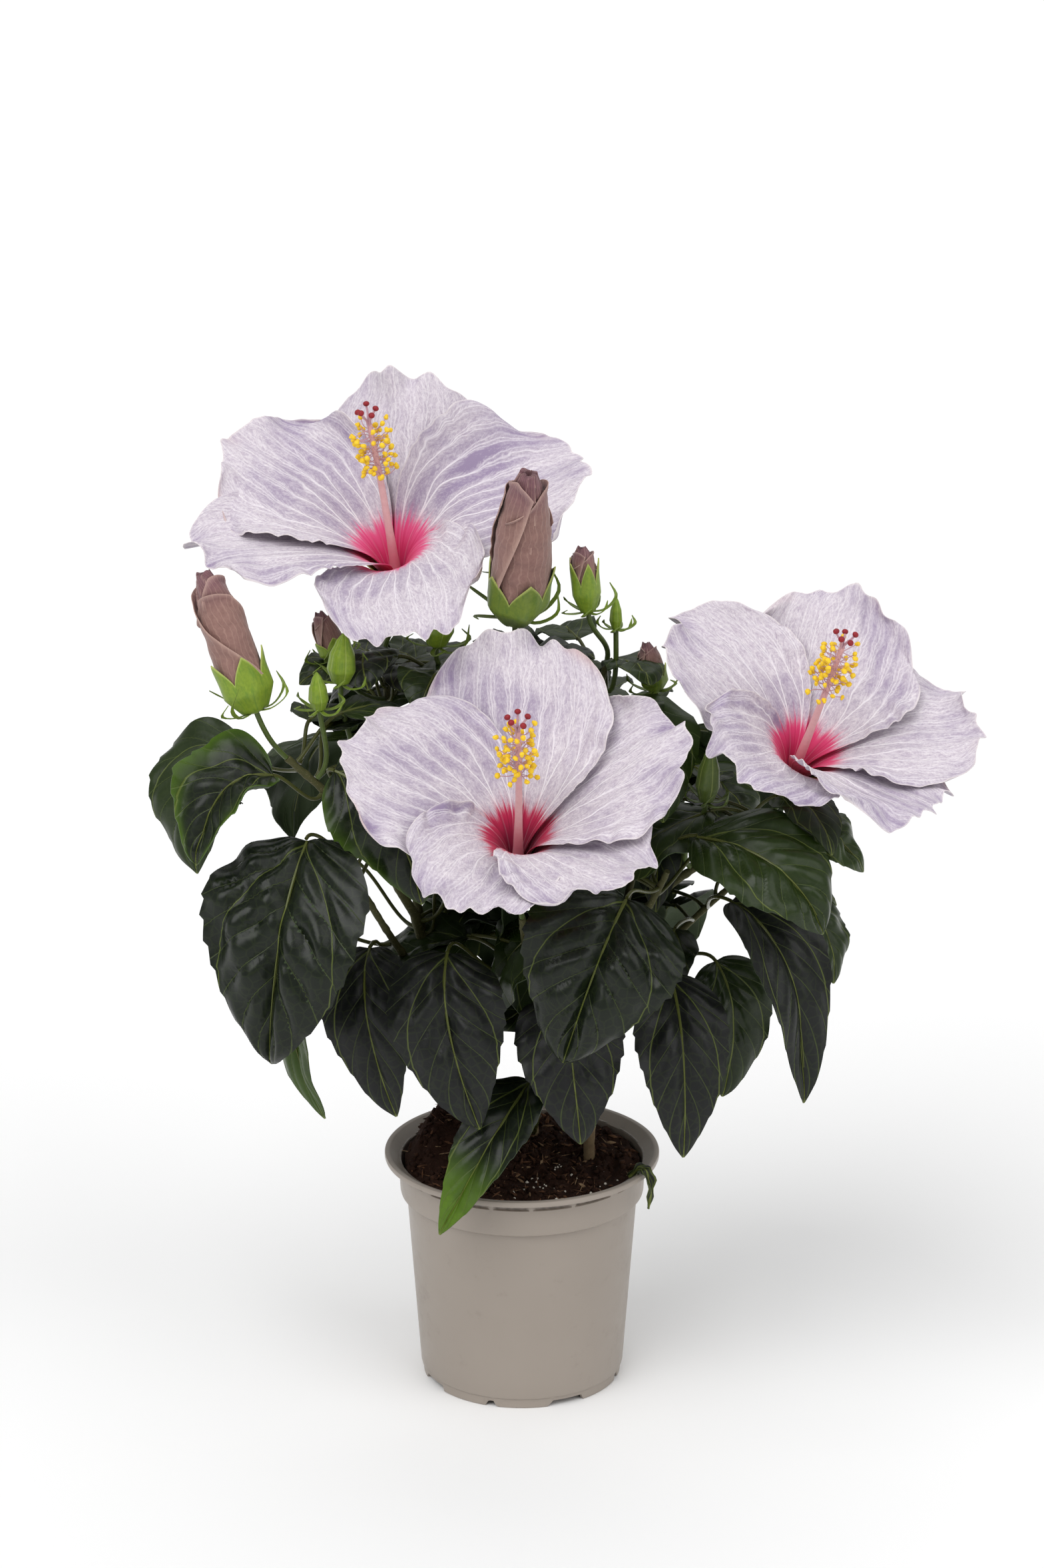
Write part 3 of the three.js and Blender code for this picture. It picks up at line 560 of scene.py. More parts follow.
def column_material():
    s = Shader("column_pink")
    kind = s.read("kind")
    cloud = s.noise(500, 3)
    base = s.layers(
        s.blend(cloud, "#d39d9f", "#e6bab9"),
        (s.times(s.read("tone"), 0.7), "#c2506e"),
        (s.step(kind, 0.5, 1.0), s.blend(cloud, "#b48896", "#cda3ad")),
        (s.step(kind, 1.5, 2.0), s.blend(cloud, "#eab308", "#ffe033")),
        (s.step(kind, 2.5, 3.0), s.blend(cloud, "#6e0814", "#a51424")),
    )
    s.bump(s.noise(2500, 3), 0.4, 0.25)
    return s.finish(base, 0.5, 0.4, sheen=0.1)


def bud_green_material():
    s = Shader("bud_green")
    fine = s.noise(600, 4, 0.6)
    place = s.vector(s.times(s.read("round"), 60), s.times(s.read("height"), 3))
    stripe = s.noise(1, 3, 0.6, place)
    base = s.layers(
        s.blend(fine, "#5d7a14", "#8fa52a"),
        (s.step(stripe, 0.5, 0.65, 0.0, 0.5), "#4f7a1c"),
        (s.read("tone"), s.blend(fine, "#2c3a16", "#45542a")),
        (s.times(s.read("rim"), 0.6), "#c9d17a"),
    )
    s.bump(s.plus(fine, s.times(stripe, 0.6)), 0.35, 0.3)
    return s.finish(base, 0.42, 0.45, sheen=0.1)


def bud_brown_material():
    s = Shader("bud_brown")
    turn, height, _ = s.read_parts("grain")
    wobble = s.times(s.noise(90, 3), 0.11)
    veins = line_mask(s, off_line(s, s.times(s.plus(turn, wobble), 22)), 0.03, 0.14)
    fine = s.noise(450, 4, 0.65)
    base = s.layers(
        s.blend(fine, "#73504b", "#9d7a70"),
        (s.step(height, 0.72, 1.0), s.blend(fine, "#5c3a42", "#8a6068")),
        (s.times(veins, 0.18), "#c9a596"),
        (s.times(s.read("rim"), 0.5), "#d0b0a2"),
        (s.times(s.read("shade"), 0.7), "#4c2f33"),
    )
    s.bump(s.plus(s.times(veins, 0.8), fine), 0.5, 0.35)
    return s.finish(base, 0.6, 0.35, sheen=0.15)


POT_PLASTIC = pot_material()
COMPOST = compost_material()
BARK = bark_material()
LEAF_GREEN = leaf_material()
BUD_GREEN = bud_green_material()
BUD_BROWN = bud_brown_material()
COLUMN_PINK = column_material()

# The pot. Turns are in degrees from the front, towards the viewer's right. The outline
# runs from the middle of the foot up the outside and down the inside to the floor.
POT_OUTSIDE = [
    (0, 3.6), (44, 3.6), (45, 0), (46.6, 0), (47, 0.4), (47.3, 4.6), (48, 5.2), (48.3, 6.4),
    (54.6, 91.6), (56.4, 92.2), (57.4, 93), (57.7, 94.2), (58.3, 105.6), (58.4, 106.2),
    (58.45, 109.4), (58.9, 109.9), (64.2, 110), (64.8, 110.3), (65, 110.9), (65, 112.2),
    (64.8, 112.7), (64.2, 113), (62.8, 113), (62.2, 112.7), (57.2, 109), (56.4, 94.5),
    (53.4, 93), (46.9, 6.6), (44.9, 4.8), (0, 4.8),
]
INSIDE_POINTS = 15
# How far the inside of the pot is darkened, as painted shade
INSIDE_SHADE = 0.2
# The slots round the collar, each by its turn and width, and the band that they cut
POT_WINDOWS = [
    (-88, 20), (-64, 22), (-39, 16), (-21, 12), (-5, 15), (14, 17), (35, 20), (57, 12), (74, 16),
]
WINDOW_LOW = 105.9
WINDOW_HIGH = 109.6
WINDOW_RADIUS = 57.9
WINDOW_DEPTH = 1.1
WINDOW_EASE = 0.9
# Each notch of the foot by its turn, half width in degrees and height
FOOT_NOTCHES = [(27 + 90 * k, 10.4, 3.0) for k in range(4)]
FOOT_NOTCHES += [(-18 + 90 * k, 2.6, 3.0) for k in range(4)]
NOTCH_EASE = 1.6
# Each drain hole by its turn, its distance from the middle and its radius
DRAIN_HOLES = [(math.radians(27 + 90 * k), 34.0, 4.0) for k in range(4)]


def resampled(profile, longest):
    """The profile with points added so that no step is longer than the given one."""
    result = [np.array(profile[0], float)]
    for start, end in zip(profile[:-1], profile[1:]):
        start, end = np.array(start, float), np.array(end, float)
        pieces = max(1, math.ceil(np.linalg.norm(end - start) / longest))
        result += [mix(start, end, (k + 1) / pieces) for k in range(pieces)]
    return np.array(result)


def make_pot():
    columns = 216
    profile = resampled(POT_OUTSIDE, 7)
    across, up = profile.T
    turn = np.linspace(0, 360, columns, endpoint=False)
    window = np.zeros(columns)
    for centre, width in POT_WINDOWS:
        for middle in (centre, centre + 180):
            window = np.maximum(window, smooth((width / 2 - around(turn, middle)) / WINDOW_EASE))
    band = (up > WINDOW_LOW) & (up < WINDOW_HIGH) & (across > WINDOW_RADIUS)
    radius = across[:, None] - WINDOW_DEPTH * band[:, None] * window
    notch = np.zeros(columns)
    for centre, half_width, tall in FOOT_NOTCHES:
        cut = np.clip((half_width - around(turn, centre)) / NOTCH_EASE + 0.5, 0, 1)
        notch = np.maximum(notch, tall * cut)
    foot = (across > 44.5) & (up < 3)
    height = np.maximum(up[:, None], foot[:, None] * notch)
    angle = np.radians(turn - 90)
    rings = np.stack([radius * np.cos(angle), radius * np.sin(angle), height], -1)
    # Painted shade in the slots of the collar and on the inside of the pot
    slot_shade = window * (0.45 + 0.40 * (fraction(turn * 0.37) > 0.5))
    inside = np.arange(len(profile)) >= len(profile) - INSIDE_POINTS
    dark = np.maximum(band[:, None] * slot_shade, INSIDE_SHADE * inside[:, None])
    skin = wrap(rings[1:-1], dark=dark[1:-1])
    shell = make_piece("pot", [skin], POT_PLASTIC, ["pot"], sharp=28)
    for number, (way, circle, hole_radius) in enumerate(DRAIN_HOLES):
        path = [[circle * math.sin(way), -circle * math.cos(way), z] for z in (1, 9)]
        plug = tube(path, hole_radius, 24)
        cutter = make_piece(f"cutter_{number}", [plug], POT_PLASTIC)
        cut = shell.modifiers.new("hole", "BOOLEAN")
        cut.operation = "DIFFERENCE"
        cut.object = cutter
        apply_modifiers(shell)
        bpy.data.objects.remove(cutter)


def apply_modifiers(piece):
    bpy.context.view_layer.update()
    graph = bpy.context.evaluated_depsgraph_get()
    mesh = bpy.data.meshes.new_from_object(piece.evaluated_get(graph), depsgraph=graph)
    piece.modifiers.clear()
    old = piece.data
    piece.data = mesh
    bpy.data.meshes.remove(old)


make_pot()

# The compost: a crumbly surface strewn with chips, fibres and white grains
SOIL_LEVEL = 107
HEAP_HEIGHT = 21
HEAP_CENTRE = (-36, 18)
HEAP_SPREAD = 27
HEAP_EDGE = 13
SOIL_RADIUS = 55.6
SOIL_SIDES = [(43, 5.2), (46.4, 9), (52.6, 92), (55.2, 96)]
SOIL_LITTER = [("crumb", 520), ("chip", 330), ("fibre", 150), ("grain", 46)]


def soil_height(x, y):
    away = np.hypot(x - HEAP_CENTRE[0], y - HEAP_CENTRE[1]) / HEAP_SPREAD
    ripple = 1.2 * np.sin(x / 7 + 1) * np.cos(y / 6)
    inside = smooth((SOIL_RADIUS + 2 - np.hypot(x, y)) / HEAP_EDGE)
    return SOIL_LEVEL + HEAP_HEIGHT * np.exp(-(away ** 2)) * inside + ripple


def crumbs(x, y):
    places = np.stack([x, y], -1)
    coarse, middle, fine = (ripples(11 + k, places, wave) for k, wave in enumerate((11, 5, 2.2)))
    return 1.3 * coarse + 0.9 * np.abs(middle) + 0.5 * fine


def make_compost():
    rng = np.random.default_rng(5)
    angle = np.linspace(0, 2 * math.pi, 170, endpoint=False)
    radii = np.linspace(SOIL_RADIUS, 1, 62)[:, None]
    x, y = radii * np.cos(angle), radii * np.sin(angle)
    top = np.stack([x, y, soil_height(x, y) + crumbs(x, y)], -1)
    sides = [
        np.stack([radius * np.cos(angle), radius * np.sin(angle), np.full(len(angle), height)], -1)
        for radius, height in SOIL_SIDES
    ]
    patches = [wrap(np.concatenate([np.array(sides), top]), tone=0.0)]
    for kind, count in SOIL_LITTER:
        for _ in range(count):
            away = SOIL_RADIUS * math.sqrt(rng.uniform(0, 0.98))
            turn = rng.uniform(0, 2 * math.pi)
            if kind == "grain":
                away, turn = mix(18, 54, rng.uniform()), rng.uniform(-1.75, -0.3)
            px, py = away * math.cos(turn), away * math.sin(turn)
            pz = soil_height(px, py) + crumbs(np.array(px), np.array(py))
            way = unit(rng.normal(size=3) * [1, 1, 0.45])
            other = rng.normal(size=3)
            size, tone = {
                "crumb": (rng.uniform(0.8, 2.2, 3), rng.uniform(0, 0.3)),
                "chip": ([rng.uniform(1.2, 3.4), rng.uniform(0.6, 1.3), rng.uniform(0.25, 0.6)],
                         rng.uniform(0.1, 0.75)),
                "fibre": ([rng.uniform(2.5, 6), 0.28, 0.22], rng.uniform(0.3, 0.85)),
                "grain": (rng.uniform(0.4, 0.9, 3), 1.0),
            }[kind]
            lift = min(0.35 * size[1] + 0.3 * abs(way[2]) * size[0], 2.5)
            centre = [px * 0.985, py * 0.985, float(pz) + lift]
            patches.append(bead(centre, way, other, size, 3, 5, tone=tone))
    make_piece("compost", patches, COMPOST, ["potting_soil"], sharp=0)


make_compost()

# A shrivelled bit of leaf that hangs over the rim on the right
SCRAP_ROUTE = [(50, -27, 110), (55, -30, 115), (58, -32, 114.5), (60, -33.5, 107), (59, -35, 97)]
SCRAP_FACE = (0.5, -0.7, 0.5)
SCRAP_HALF_WIDTH = 2.7


def make_dried_scrap():
    s = np.linspace(0, 1, 22)
    S, V = np.meshgrid(s, np.linspace(1, -1, 9), indexing="ij")
    line = route_points(SCRAP_ROUTE, s)
    along = directions(line)
    side = unit(np.cross(along, SCRAP_FACE))
    up = np.cross(side, along)
    half = SCRAP_HALF_WIDTH * np.sin(math.pi * np.clip(S * 0.9 + 0.08, 0, 1)) ** 0.8
    half = half + 0.5 * np.sin(S * 31)
    height = 0.45 * half * V ** 2 + 0.7 * np.sin(S * 17 + V * 3)
    centre = line[:, None] + side[:, None] * (V * half)[..., None] + up[:, None] * height[..., None]
    grain = np.stack([V, S, half], -1)
    scrap = sheet(centre, 0.4, grain=grain, grey=1.0, lime=0.0, stalk=0.0)
    make_piece("dried_scrap", [scrap], LEAF_GREEN)


make_dried_scrap()

# The stems. Each branch is a smooth run through its points, with its radius at both ends.
BRANCHES = {
    "A": (2.9, 2.3, [(-26, 16, 84), (-27, 15, 120), (-38, 6, 180), (-50, -8, 235)]),
    "A1": (2.2, 1.6, [(-50, -8, 234), (-68, -26, 272), (-88, -38, 302), (-106, -43, 321)]),
    "A2": (2.1, 1.6, [(-44, -1, 205), (-52, 6, 255), (-60, 20, 305), (-64, 28, 345)]),
    "A3": (1.9, 1.4, [(-39, 4, 186), (-58, -18, 222), (-72, -38, 254), (-82, -50, 276)]),
    "B": (2.8, 1.7, [(6, 30, 84), (5, 29, 120), (0, 30, 200), (-4, 22, 280), (-3, 4, 348)]),
    "B2": (2.0, 1.5, [(1, 30, 190), (16, 34, 250), (30, 26, 305), (39, 12, 350)]),
    "B3": (2.0, 1.6, [(4, 29, 150), (2, 4, 186), (2, -24, 218), (0, -47, 246)]),
    "B4": (1.8, 1.3, [(-4, 22, 282), (-16, 18, 312), (-28, 10, 334), (-37, 2, 350)]),
    "B5": (1.8, 1.3, [(1, 30, 180), (6, 56, 220), (8, 74, 262), (6, 84, 300)]),
    "C": (2.8, 2.2, [(32, 4, 84), (32, 3, 120), (35, 0, 170), (41, -5, 212)]),
    "C1": (2.1, 1.6, [(40, -4, 208), (62, -9, 242), (88, -12, 264), (112, -13, 283)]),
    "C2": (1.9, 1.4, [(38, -3, 192), (46, -22, 222), (58, -38, 248), (66, -46, 268)]),
    "C3": (1.9, 1.3, [(36, -1, 178), (60, 8, 204), (84, 16, 226), (104, 18, 244)]),
    "C4": (1.8, 1.3, [(41, -4, 206), (52, 26, 240), (62, 48, 272), (68, 58, 304)]),
}
STEMS = {"stem_left": "A", "stem_middle": "B", "stem_right": "C"}
SEAT_GAP = 0.3
PETIOLE_RADIUS = 0.9
PEDICEL_RADIUS = 1.3


def seat_on(branch, along, target, stalk_radius):
    """Where a stalk leaves a branch, and the direction in which it sets out."""
    wide, thin, route = BRANCHES[branch]
    centre = route_points(route, np.array(along))
    near = route_points(route, np.array([max(0, along - 1e-4), min(1, along + 1e-4)]))
    tangent = unit(near[1] - near[0])
    if along == 1:
        return centre + tangent * SEAT_GAP, tangent
    way = np.asarray(target, float) - centre
    way = unit(way - tangent * (way @ tangent))
    return centre + way * (mix(wide, thin, along) + SEAT_GAP + 0.04 * stalk_radius), way


def stalk_points(seat, target, arrival, count):
    """A stalk from its seat on a branch to the part that it carries."""
    start, way = seat
    target = np.asarray(target, float)
    length = np.linalg.norm(target - start)
    first = start + 0.35 * length * way
    second = target - 0.35 * length * np.asarray(arrival)
    t = np.linspace(0, 1, count)[:, None]
    return ((1 - t) ** 3 * start + 3 * (1 - t) ** 2 * t * first
            + 3 * (1 - t) * t ** 2 * second + t ** 3 * target)


def branch_patch(branch, seed):
    wide, thin, route = BRANCHES[branch]
    t = np.linspace(0, 1, 72)
    path = route_points(route, t)
    knots = hump(fraction(t * 7 + 0.3 * seed), 0.5, 0.09)
    rings = tube_rings(path, mix(wide, thin, t) * (1 + 0.14 * knots), 14)
    out = unit(rings - path[:, None])
    rings = rings + out * (0.16 * ripples(seed, rings, 5))[..., None]
    return wrap(rings, height=rings[..., 2])


def make_stems():
    for name, letter in STEMS.items():
        branches = [branch for branch in BRANCHES if branch[0] == letter]
        patches = [branch_patch(branch, 3 * k + len(name)) for k, branch in enumerate(branches)]
        make_piece(name, patches, BARK, [name])


make_stems()

# Leaves. base, mid and tip set the midrib and face the way that the upper side looks.
# fold lifts the sides, droop lowers their outer halves, curl turns the very edge up and
# wave ripples it. teeth is the size of the teeth and quilt that of the pillows between
# the veins. grey dulls the green, and lift, edge_lime and tip_lime brighten the whole
# blade, its edge or its tip.
LEAF_THICKNESS = 0.5
LEAF_DEFAULTS = dict(
    fold=0.1, droop=0.1, curl=0, wave=0.07, teeth=0.08, quilt=1.0, grey=0.15, lift=0, edge_lime=0,
    tip_lime=0,
)
LEAVES = {
    "leaf_left_large": dict(
        on="A3", at=1, base=(-97, -62, 289), mid=(-112, -104, 262), tip=(-115, -88, 189),
        width=82, face=(-0.35, -0.75, 0.5), wave=0.05, quilt=1.7),
    "leaf_far_left": dict(
        on="A1", at=0.9, base=(-128, -20, 312), mid=(-160, -24, 320), tip=(-150, -34, 262),
        width=58, face=(-0.5, -0.6, 0.6), droop=0.15, wave=0.1, teeth=0.09, grey=0.55, lift=0.1),
    "leaf_left_curled": dict(
        on="A1", at=0.7, base=(-112, -52, 316), mid=(-140, -66, 326), tip=(-146, -72, 280),
        width=44, face=(-0.3, -0.5, 0.8), fold=0.3, wave=0.12, curl=0.3, edge_lime=0.55),
    "leaf_inner_left": dict(
        on="A1", at=0.45, base=(-84, -58, 320), mid=(-55, -77, 314), tip=(-45, -75, 262),
        width=50, face=(-0.2, -0.8, 0.5), fold=0.15, curl=0.12, edge_lime=0.35),
    "leaf_low_left": dict(
        on="A", at=0.62, base=(-70, -32, 226), mid=(-78, -62, 212), tip=(-58, -58, 152),
        width=44, face=(-0.3, -0.85, 0.4), fold=0.15, grey=0.9),
    "leaf_narrow_left": dict(
        on="A3", at=0.35, base=(-98, -20, 226), mid=(-122, -30, 206), tip=(-92, -45, 146),
        width=40, face=(-0.8, -0.4, 0.3), fold=0.2, teeth=0.07, lift=0.25),
    "leaf_middle_low": dict(
        on="B3", at=0.55, base=(-34, -52, 231), mid=(-40, -82, 212), tip=(-19, -74, 152),
        width=54, face=(-0.1, -0.85, 0.5), fold=0.08, droop=0.12, grey=0.85, quilt=1.2),
    "leaf_over_rim": dict(
        on="B", at=0.2, base=(4, -36, 162), mid=(-10, -74, 158), tip=(-38, -74, 101),
        width=34, face=(-0.25, -0.7, 0.65), fold=0.35, droop=0.05, tip_lime=0.62, grey=0.3),
    "leaf_front_middle": dict(
        on="C2", at=0.85, base=(47, -76, 266), mid=(34, -112, 254), tip=(18, -96, 193),
        width=74, face=(0.1, -0.75, 0.6), fold=0.08, droop=0.14, quilt=1.6),
    "leaf_lower_middle": dict(
        on="C", at=0.6, base=(19, -44, 208), mid=(22, -72, 196), tip=(27, -66, 142),
        width=50, face=(0, -0.85, 0.4), fold=0.12, grey=1.0),
    "leaf_low_right": dict(
        on="C2", at=0.3, base=(68, -42, 216), mid=(76, -76, 198), tip=(74, -72, 138),
        width=44, face=(0.15, -0.85, 0.4), grey=0.9),
    "leaf_right_large": dict(
        on="C1", at=0.35, base=(79, -48, 286), mid=(120, -80, 292), tip=(137, -80, 250),
        width=56, face=(0.1, -0.5, 0.85), fold=0.12, droop=0.14, wave=0.09, lift=0.09, quilt=1.5),
    "leaf_right_long": dict(
        on="C3", at=0.72, base=(96, -30, 248), mid=(130, -58, 240), tip=(130, -57, 159),
        width=44, face=(0.6, -0.7, 0.4), fold=0.3, droop=0.05, grey=0.75),
    "leaf_right_inner": dict(
        on="C3", at=0.4, base=(90, -12, 212), mid=(104, -28, 196), tip=(94, -18, 146),
        width=42, face=(0.3, -0.85, 0.4), lift=0.05),
    "leaf_right_small": dict(
        on="C3", at=0.95, base=(126, 4, 236), mid=(146, -4, 232), tip=(146, -10, 200),
        width=38, face=(0.6, -0.5, 0.6), droop=0.2, teeth=0.09, grey=0.5, lift=0.1),
    "leaf_under_flower": dict(
        on="C1", at=0.88, base=(124, -28, 286), mid=(142, -38, 290), tip=(157, -34, 264),
        width=36, face=(0.3, -0.4, 0.85), droop=0.2, wave=0.1, lift=0.15),
    "leaf_back_left": dict(
        on="A2", at=0.6, base=(-76, 40, 306), mid=(-104, 78, 306), tip=(-112, 84, 240),
        width=66, face=(-0.5, 0.6, 0.6), fold=0.08, droop=0.12, lift=0.1),
    "leaf_back_middle": dict(
        on="B5", at=0.8, base=(2, 100, 290), mid=(-6, 134, 276), tip=(-8, 122, 208),
        width=70, face=(0, 0.85, 0.5), fold=0.08, droop=0.12, quilt=1.5),
    "leaf_back_right": dict(
        on="C4", at=0.8, base=(80, 70, 300), mid=(112, 92, 296), tip=(116, 88, 230),
        width=62, face=(0.5, 0.65, 0.5), fold=0.08, droop=0.12, lift=0.15),
}


def leaf_half_width(u, width):
    return np.maximum(0.35, 0.5 * width * np.sin(math.pi * u ** 0.76) ** 0.75)


def leaf_midrib(spec, u):
    """Points of the midrib, and its directions and those of the side and the upper face."""
    base, mid, tip = (np.array(spec[key], float) for key in ("base", "mid", "tip"))
    t = u[:, None]
    line = (1 - t) ** 2 * base + 2 * (1 - t) * t * mid + t ** 2 * tip
    along = unit((1 - t) * (mid - base) + t * (tip - mid))
    side = unit(np.cross(along, unit(spec["face"])))
    return line, along, side, np.cross(side, along)


def leaf_patches(spec, seed, rows=56, columns=37):
    spec = {**LEAF_DEFAULTS, **spec}
    rng = np.random.default_rng(seed)
    u = np.linspace(0, 1, rows) ** 1.05
    U, V = np.meshgrid(u, np.linspace(1, -1, columns), indexing="ij")
    W = np.abs(V)
    line, along, side, up = leaf_midrib(spec, u)
    scale = spec["width"] / 60
    # The outline with its teeth and the lobes beside the stalk
    smooth_half = leaf_half_width(U, spec["width"])
    count = rng.uniform(8.5, 10.5)
    point = fraction(U * count + np.where(V > 0, 0.0, rng.uniform(0.2, 0.8)))
    saw = (0.75 * point ** 1.3 - 0.4) * smooth((U - 0.22) / 0.2) * smooth((0.985 - U) / 0.05)
    half = smooth_half * (1 + spec["teeth"] * saw * W ** 6)
    lobe = -0.22 * smooth_half * W * (1 - U) ** 3
    # Pillows between grooves along the veins, slow waves and the bends of the edge
    start = U - VEIN_SPREAD * W ** VEIN_CURVE * (1 - VEIN_EASE * U)
    rib = np.abs(fraction(start * VEIN_COUNT + VEIN_OFFSET) - 0.5) * 2
    pillow = (1 - (1 - rib) ** 3) * np.minimum(1, W * 5) * (1 - V ** 4)
    pillow *= np.sin(math.pi * np.clip(U, 0.02, 0.98)) ** 0.5
    palm = hump((W - PALM_SPREAD * U ** PALM_CURVE) * half, 0, 3.6) * smooth((U - 0.08) / 0.2)
    relief = 1.7 * pillow * (1 - 0.7 * palm) - 1.1 * hump(V * half, 0, 3.4) - 0.8 * palm
    height = half * W * (spec["fold"] - spec["droop"] * W) + spec["quilt"] * scale * relief
    places = np.stack([U * 90, V * half], -1)
    height += 1.9 * scale * ripples(seed + 50, places, 27) * np.minimum(1, U * 6)
    phase = np.where(V > 0, rng.uniform(0, 6), rng.uniform(0, 6))
    height += spec["wave"] * half * W ** 2.5 * np.sin(U * 15 + phase)
    height += spec["curl"] * half * W ** 5
    centre = (line[:, None] + side[:, None] * (V * half)[..., None]
              + along[:, None] * lobe[..., None] + up[:, None] * height[..., None])
    lime = spec["lift"] + spec["edge_lime"] * W ** 6 + spec["tip_lime"] * smooth((U - 0.55) / 0.35)
    blade = sheet(centre, LEAF_THICKNESS, grain=np.stack([V, U, half], -1), grey=spec["grey"],
                  lime=np.clip(lime, 0, 1), stalk=0.0)
    seat = seat_on(spec["on"], spec["at"], line[0], PETIOLE_RADIUS)
    steps = 16
    swell = 1 + 0.35 * hump(np.arange(steps), 0, 1.5)
    petiole = tube(stalk_points(seat, line[0], along[0], steps), PETIOLE_RADIUS * swell, 8,
                   stalk=1.0, lime=0.15)
    reach = int(rows * 0.9)
    keel = line[:reach] - up[:reach] * (0.25 + 0.7 * spec["quilt"] * scale)
    midrib = tube(keel, np.linspace(0.95, 0.2, reach), 6, stalk=0.7, lime=0.1)
    return [blade, petiole, midrib]


def make_leaves():
    for number, (name, spec) in enumerate(LEAVES.items()):
        patches = leaf_patches(spec, 100 + number)
        make_piece(name, patches, LEAF_GREEN, [name])


make_leaves()

# Flowers. throat is the point at which the column shows and axis the way that the flower
# faces. A petal has the azimuth of its tip, its length, half its width, the slope of its
# tip and the height of its clockwise and its other edge over the common bowl. across
# bends one side: side, start, angle, place and spread along the petal. along bends the
# tip: start, angle, place and spread across it. Angles turn towards the column.
FLOWER_BASE_RADIUS = 4
THROAT_DEPTH = 14
THROAT_SLOPE = 82
BOWL_REACH = 110
COLUMN_LENGTH = 75
CLAW_HALF_WIDTH = 2.4
PETAL_THICKNESS = 0.3
STAMENS = 70
GOLDEN_ANGLE = 137.5
# A bract by its steps, half width, half width at the tip, the spread and start of its
# outline, and its thickness
FLOWER_BRACTS = 7
FLOWER_BRACT = (11, 1.3, 0.12, 0.75, 0.22, 0.4)
PETAL_DEFAULTS = dict(layer=(1, -1), ruffle=1.0, across=[], along=[])
FLOWERS = {
    "front_flower": dict(
        throat=(-2, -75, 291), axis=(0, -0.416, 0.909), first=92, seat=("B3", 1),
        throat_colour="#c0234f", deep_colour="#8c1238", reach=27,
        pollen=[(654, 1252), (772, 1277)],
        petals=[
            dict(to=90, length=105, half=46, slope=36, ruffle=1.1),
            dict(to=161, length=97, half=46, slope=22),
            dict(to=244, length=77, half=43, slope=2, across=[(-1, 0.8, 60, 0.62, 0.12)]),
            dict(to=317, length=83, half=44, slope=8, ruffle=1.25),
            dict(to=380, length=98, half=44, slope=24, along=[(0.88, 60, 0.75, 0.2)]),
        ]),
    "left_flower": dict(
        throat=(-59, 15, 399), axis=(-0.1455, -0.2107, 0.9667), first=78, seat=("A2", 1),
        throat_colour="#e4568a", deep_colour="#d02f66", reach=28,
        petals=[
            dict(to=78, length=99, half=44, slope=40, layer=(-1, -1)),
            dict(to=148, length=102, half=42, slope=28, layer=(1, 1), across=[(-1, 0.72, 70, 0.80, 0.22)]),
            dict(to=192, length=102, half=36, slope=8, layer=(-1, 1)),
            dict(to=278, length=79, half=46, slope=-28, layer=(-1, 1), ruffle=1.3),
            dict(to=372, length=104, half=42, slope=4, layer=(-1, 2), across=[(1, 0.05, 64, 0.62, 0.45)]),
        ]),
    "right_flower": dict(
        throat=(126, -20, 313), axis=(0.25, -0.37, 0.895), first=78, seat=("C1", 1),
        throat_colour="#dc3f74", deep_colour="#bb2252", reach=27,
        petals=[
            dict(to=78, length=92, half=44, slope=34, along=[(0.86, 55, -0.5, 0.3)]),
            dict(to=152, length=93, half=42, slope=16),
            dict(to=230, length=78, half=40, slope=14, across=[(-1, 0.7, 60, 0.62, 0.35)],
                 along=[(0.8, -40, 0.3, 0.5)]),
            dict(to=320, length=81, half=42, slope=2),
            dict(to=370, length=92, half=40, slope=12, along=[(0.85, 60, 0.2, 0.35)]),
        ]),
}


class AxisFrame:
    """Places round an axis, by turns of which whole_turn go once round it."""

    def __init__(self, base, axis, whole_turn):
        self.base = np.asarray(base, float)
        self.axis = unit(axis)
        self.length = np.linalg.norm(axis)
        self.right = unit(np.array([1.0, 0, 0]) - self.axis * self.axis[0])
        self.over = np.cross(self.axis, self.right)
        self.whole_turn = whole_turn

    def at(self, radius, turn, height):
        angle = 2 * math.pi * (np.asarray(turn, float) / self.whole_turn)
        height = height * np.ones_like(angle)
        return (self.base + np.multiply.outer(radius * np.cos(angle), self.right)
                + np.multiply.outer(radius * np.sin(angle), self.over)
                + np.multiply.outer(height, self.axis))


def flower_frame(flower):
    axis = unit(flower["axis"])
    return AxisFrame(flower["throat"] - THROAT_DEPTH * axis, axis, 360)


def end_slope(flower, azimuth):
    """The slope at which the bowl ends, eased from each petal to the next."""
    to = np.array([p["to"] for p in flower["petals"]], float)
    slope = np.array([p["slope"] for p in flower["petals"]], float)
    ahead = (to - np.asarray(azimuth, float)[..., None] + 1080) % 360
    following, last = ahead.argmin(-1), ahead.argmax(-1)
    last_ahead = np.take_along_axis(ahead, last[..., None], -1)[..., 0]
    gap = 360 - last_ahead + ahead.min(-1)
    return mix(slope[last], slope[following], smooth((360 - last_ahead) / gap))


def bowl(flower, distance, azimuth):
    """Radius, height and slope of the bowl that the petals share."""
    end = end_slope(flower, azimuth)
    distance = np.asarray(distance, float)

    def slope_at(s):
        return np.radians(mix(end, THROAT_SLOPE, np.maximum(0, 1 - s / BOWL_REACH) ** 3.2))

    steps = 12
    radius = FLOWER_BASE_RADIUS
    height = 0.0
    for i in range(steps):
        slope = slope_at(distance * (i + 0.5) / steps)
        radius = radius + distance / steps * np.cos(slope)
        height = height + distance / steps * np.sin(slope)
    return radius, height, slope_at(distance)


def bowl_point(flower, distance, azimuth, offset):
    radius, height, slope = bowl(flower, distance, azimuth)
    out, up = radius - offset * np.sin(slope), height + offset * np.cos(slope)
    return flower_frame(flower).at(out, azimuth, up)


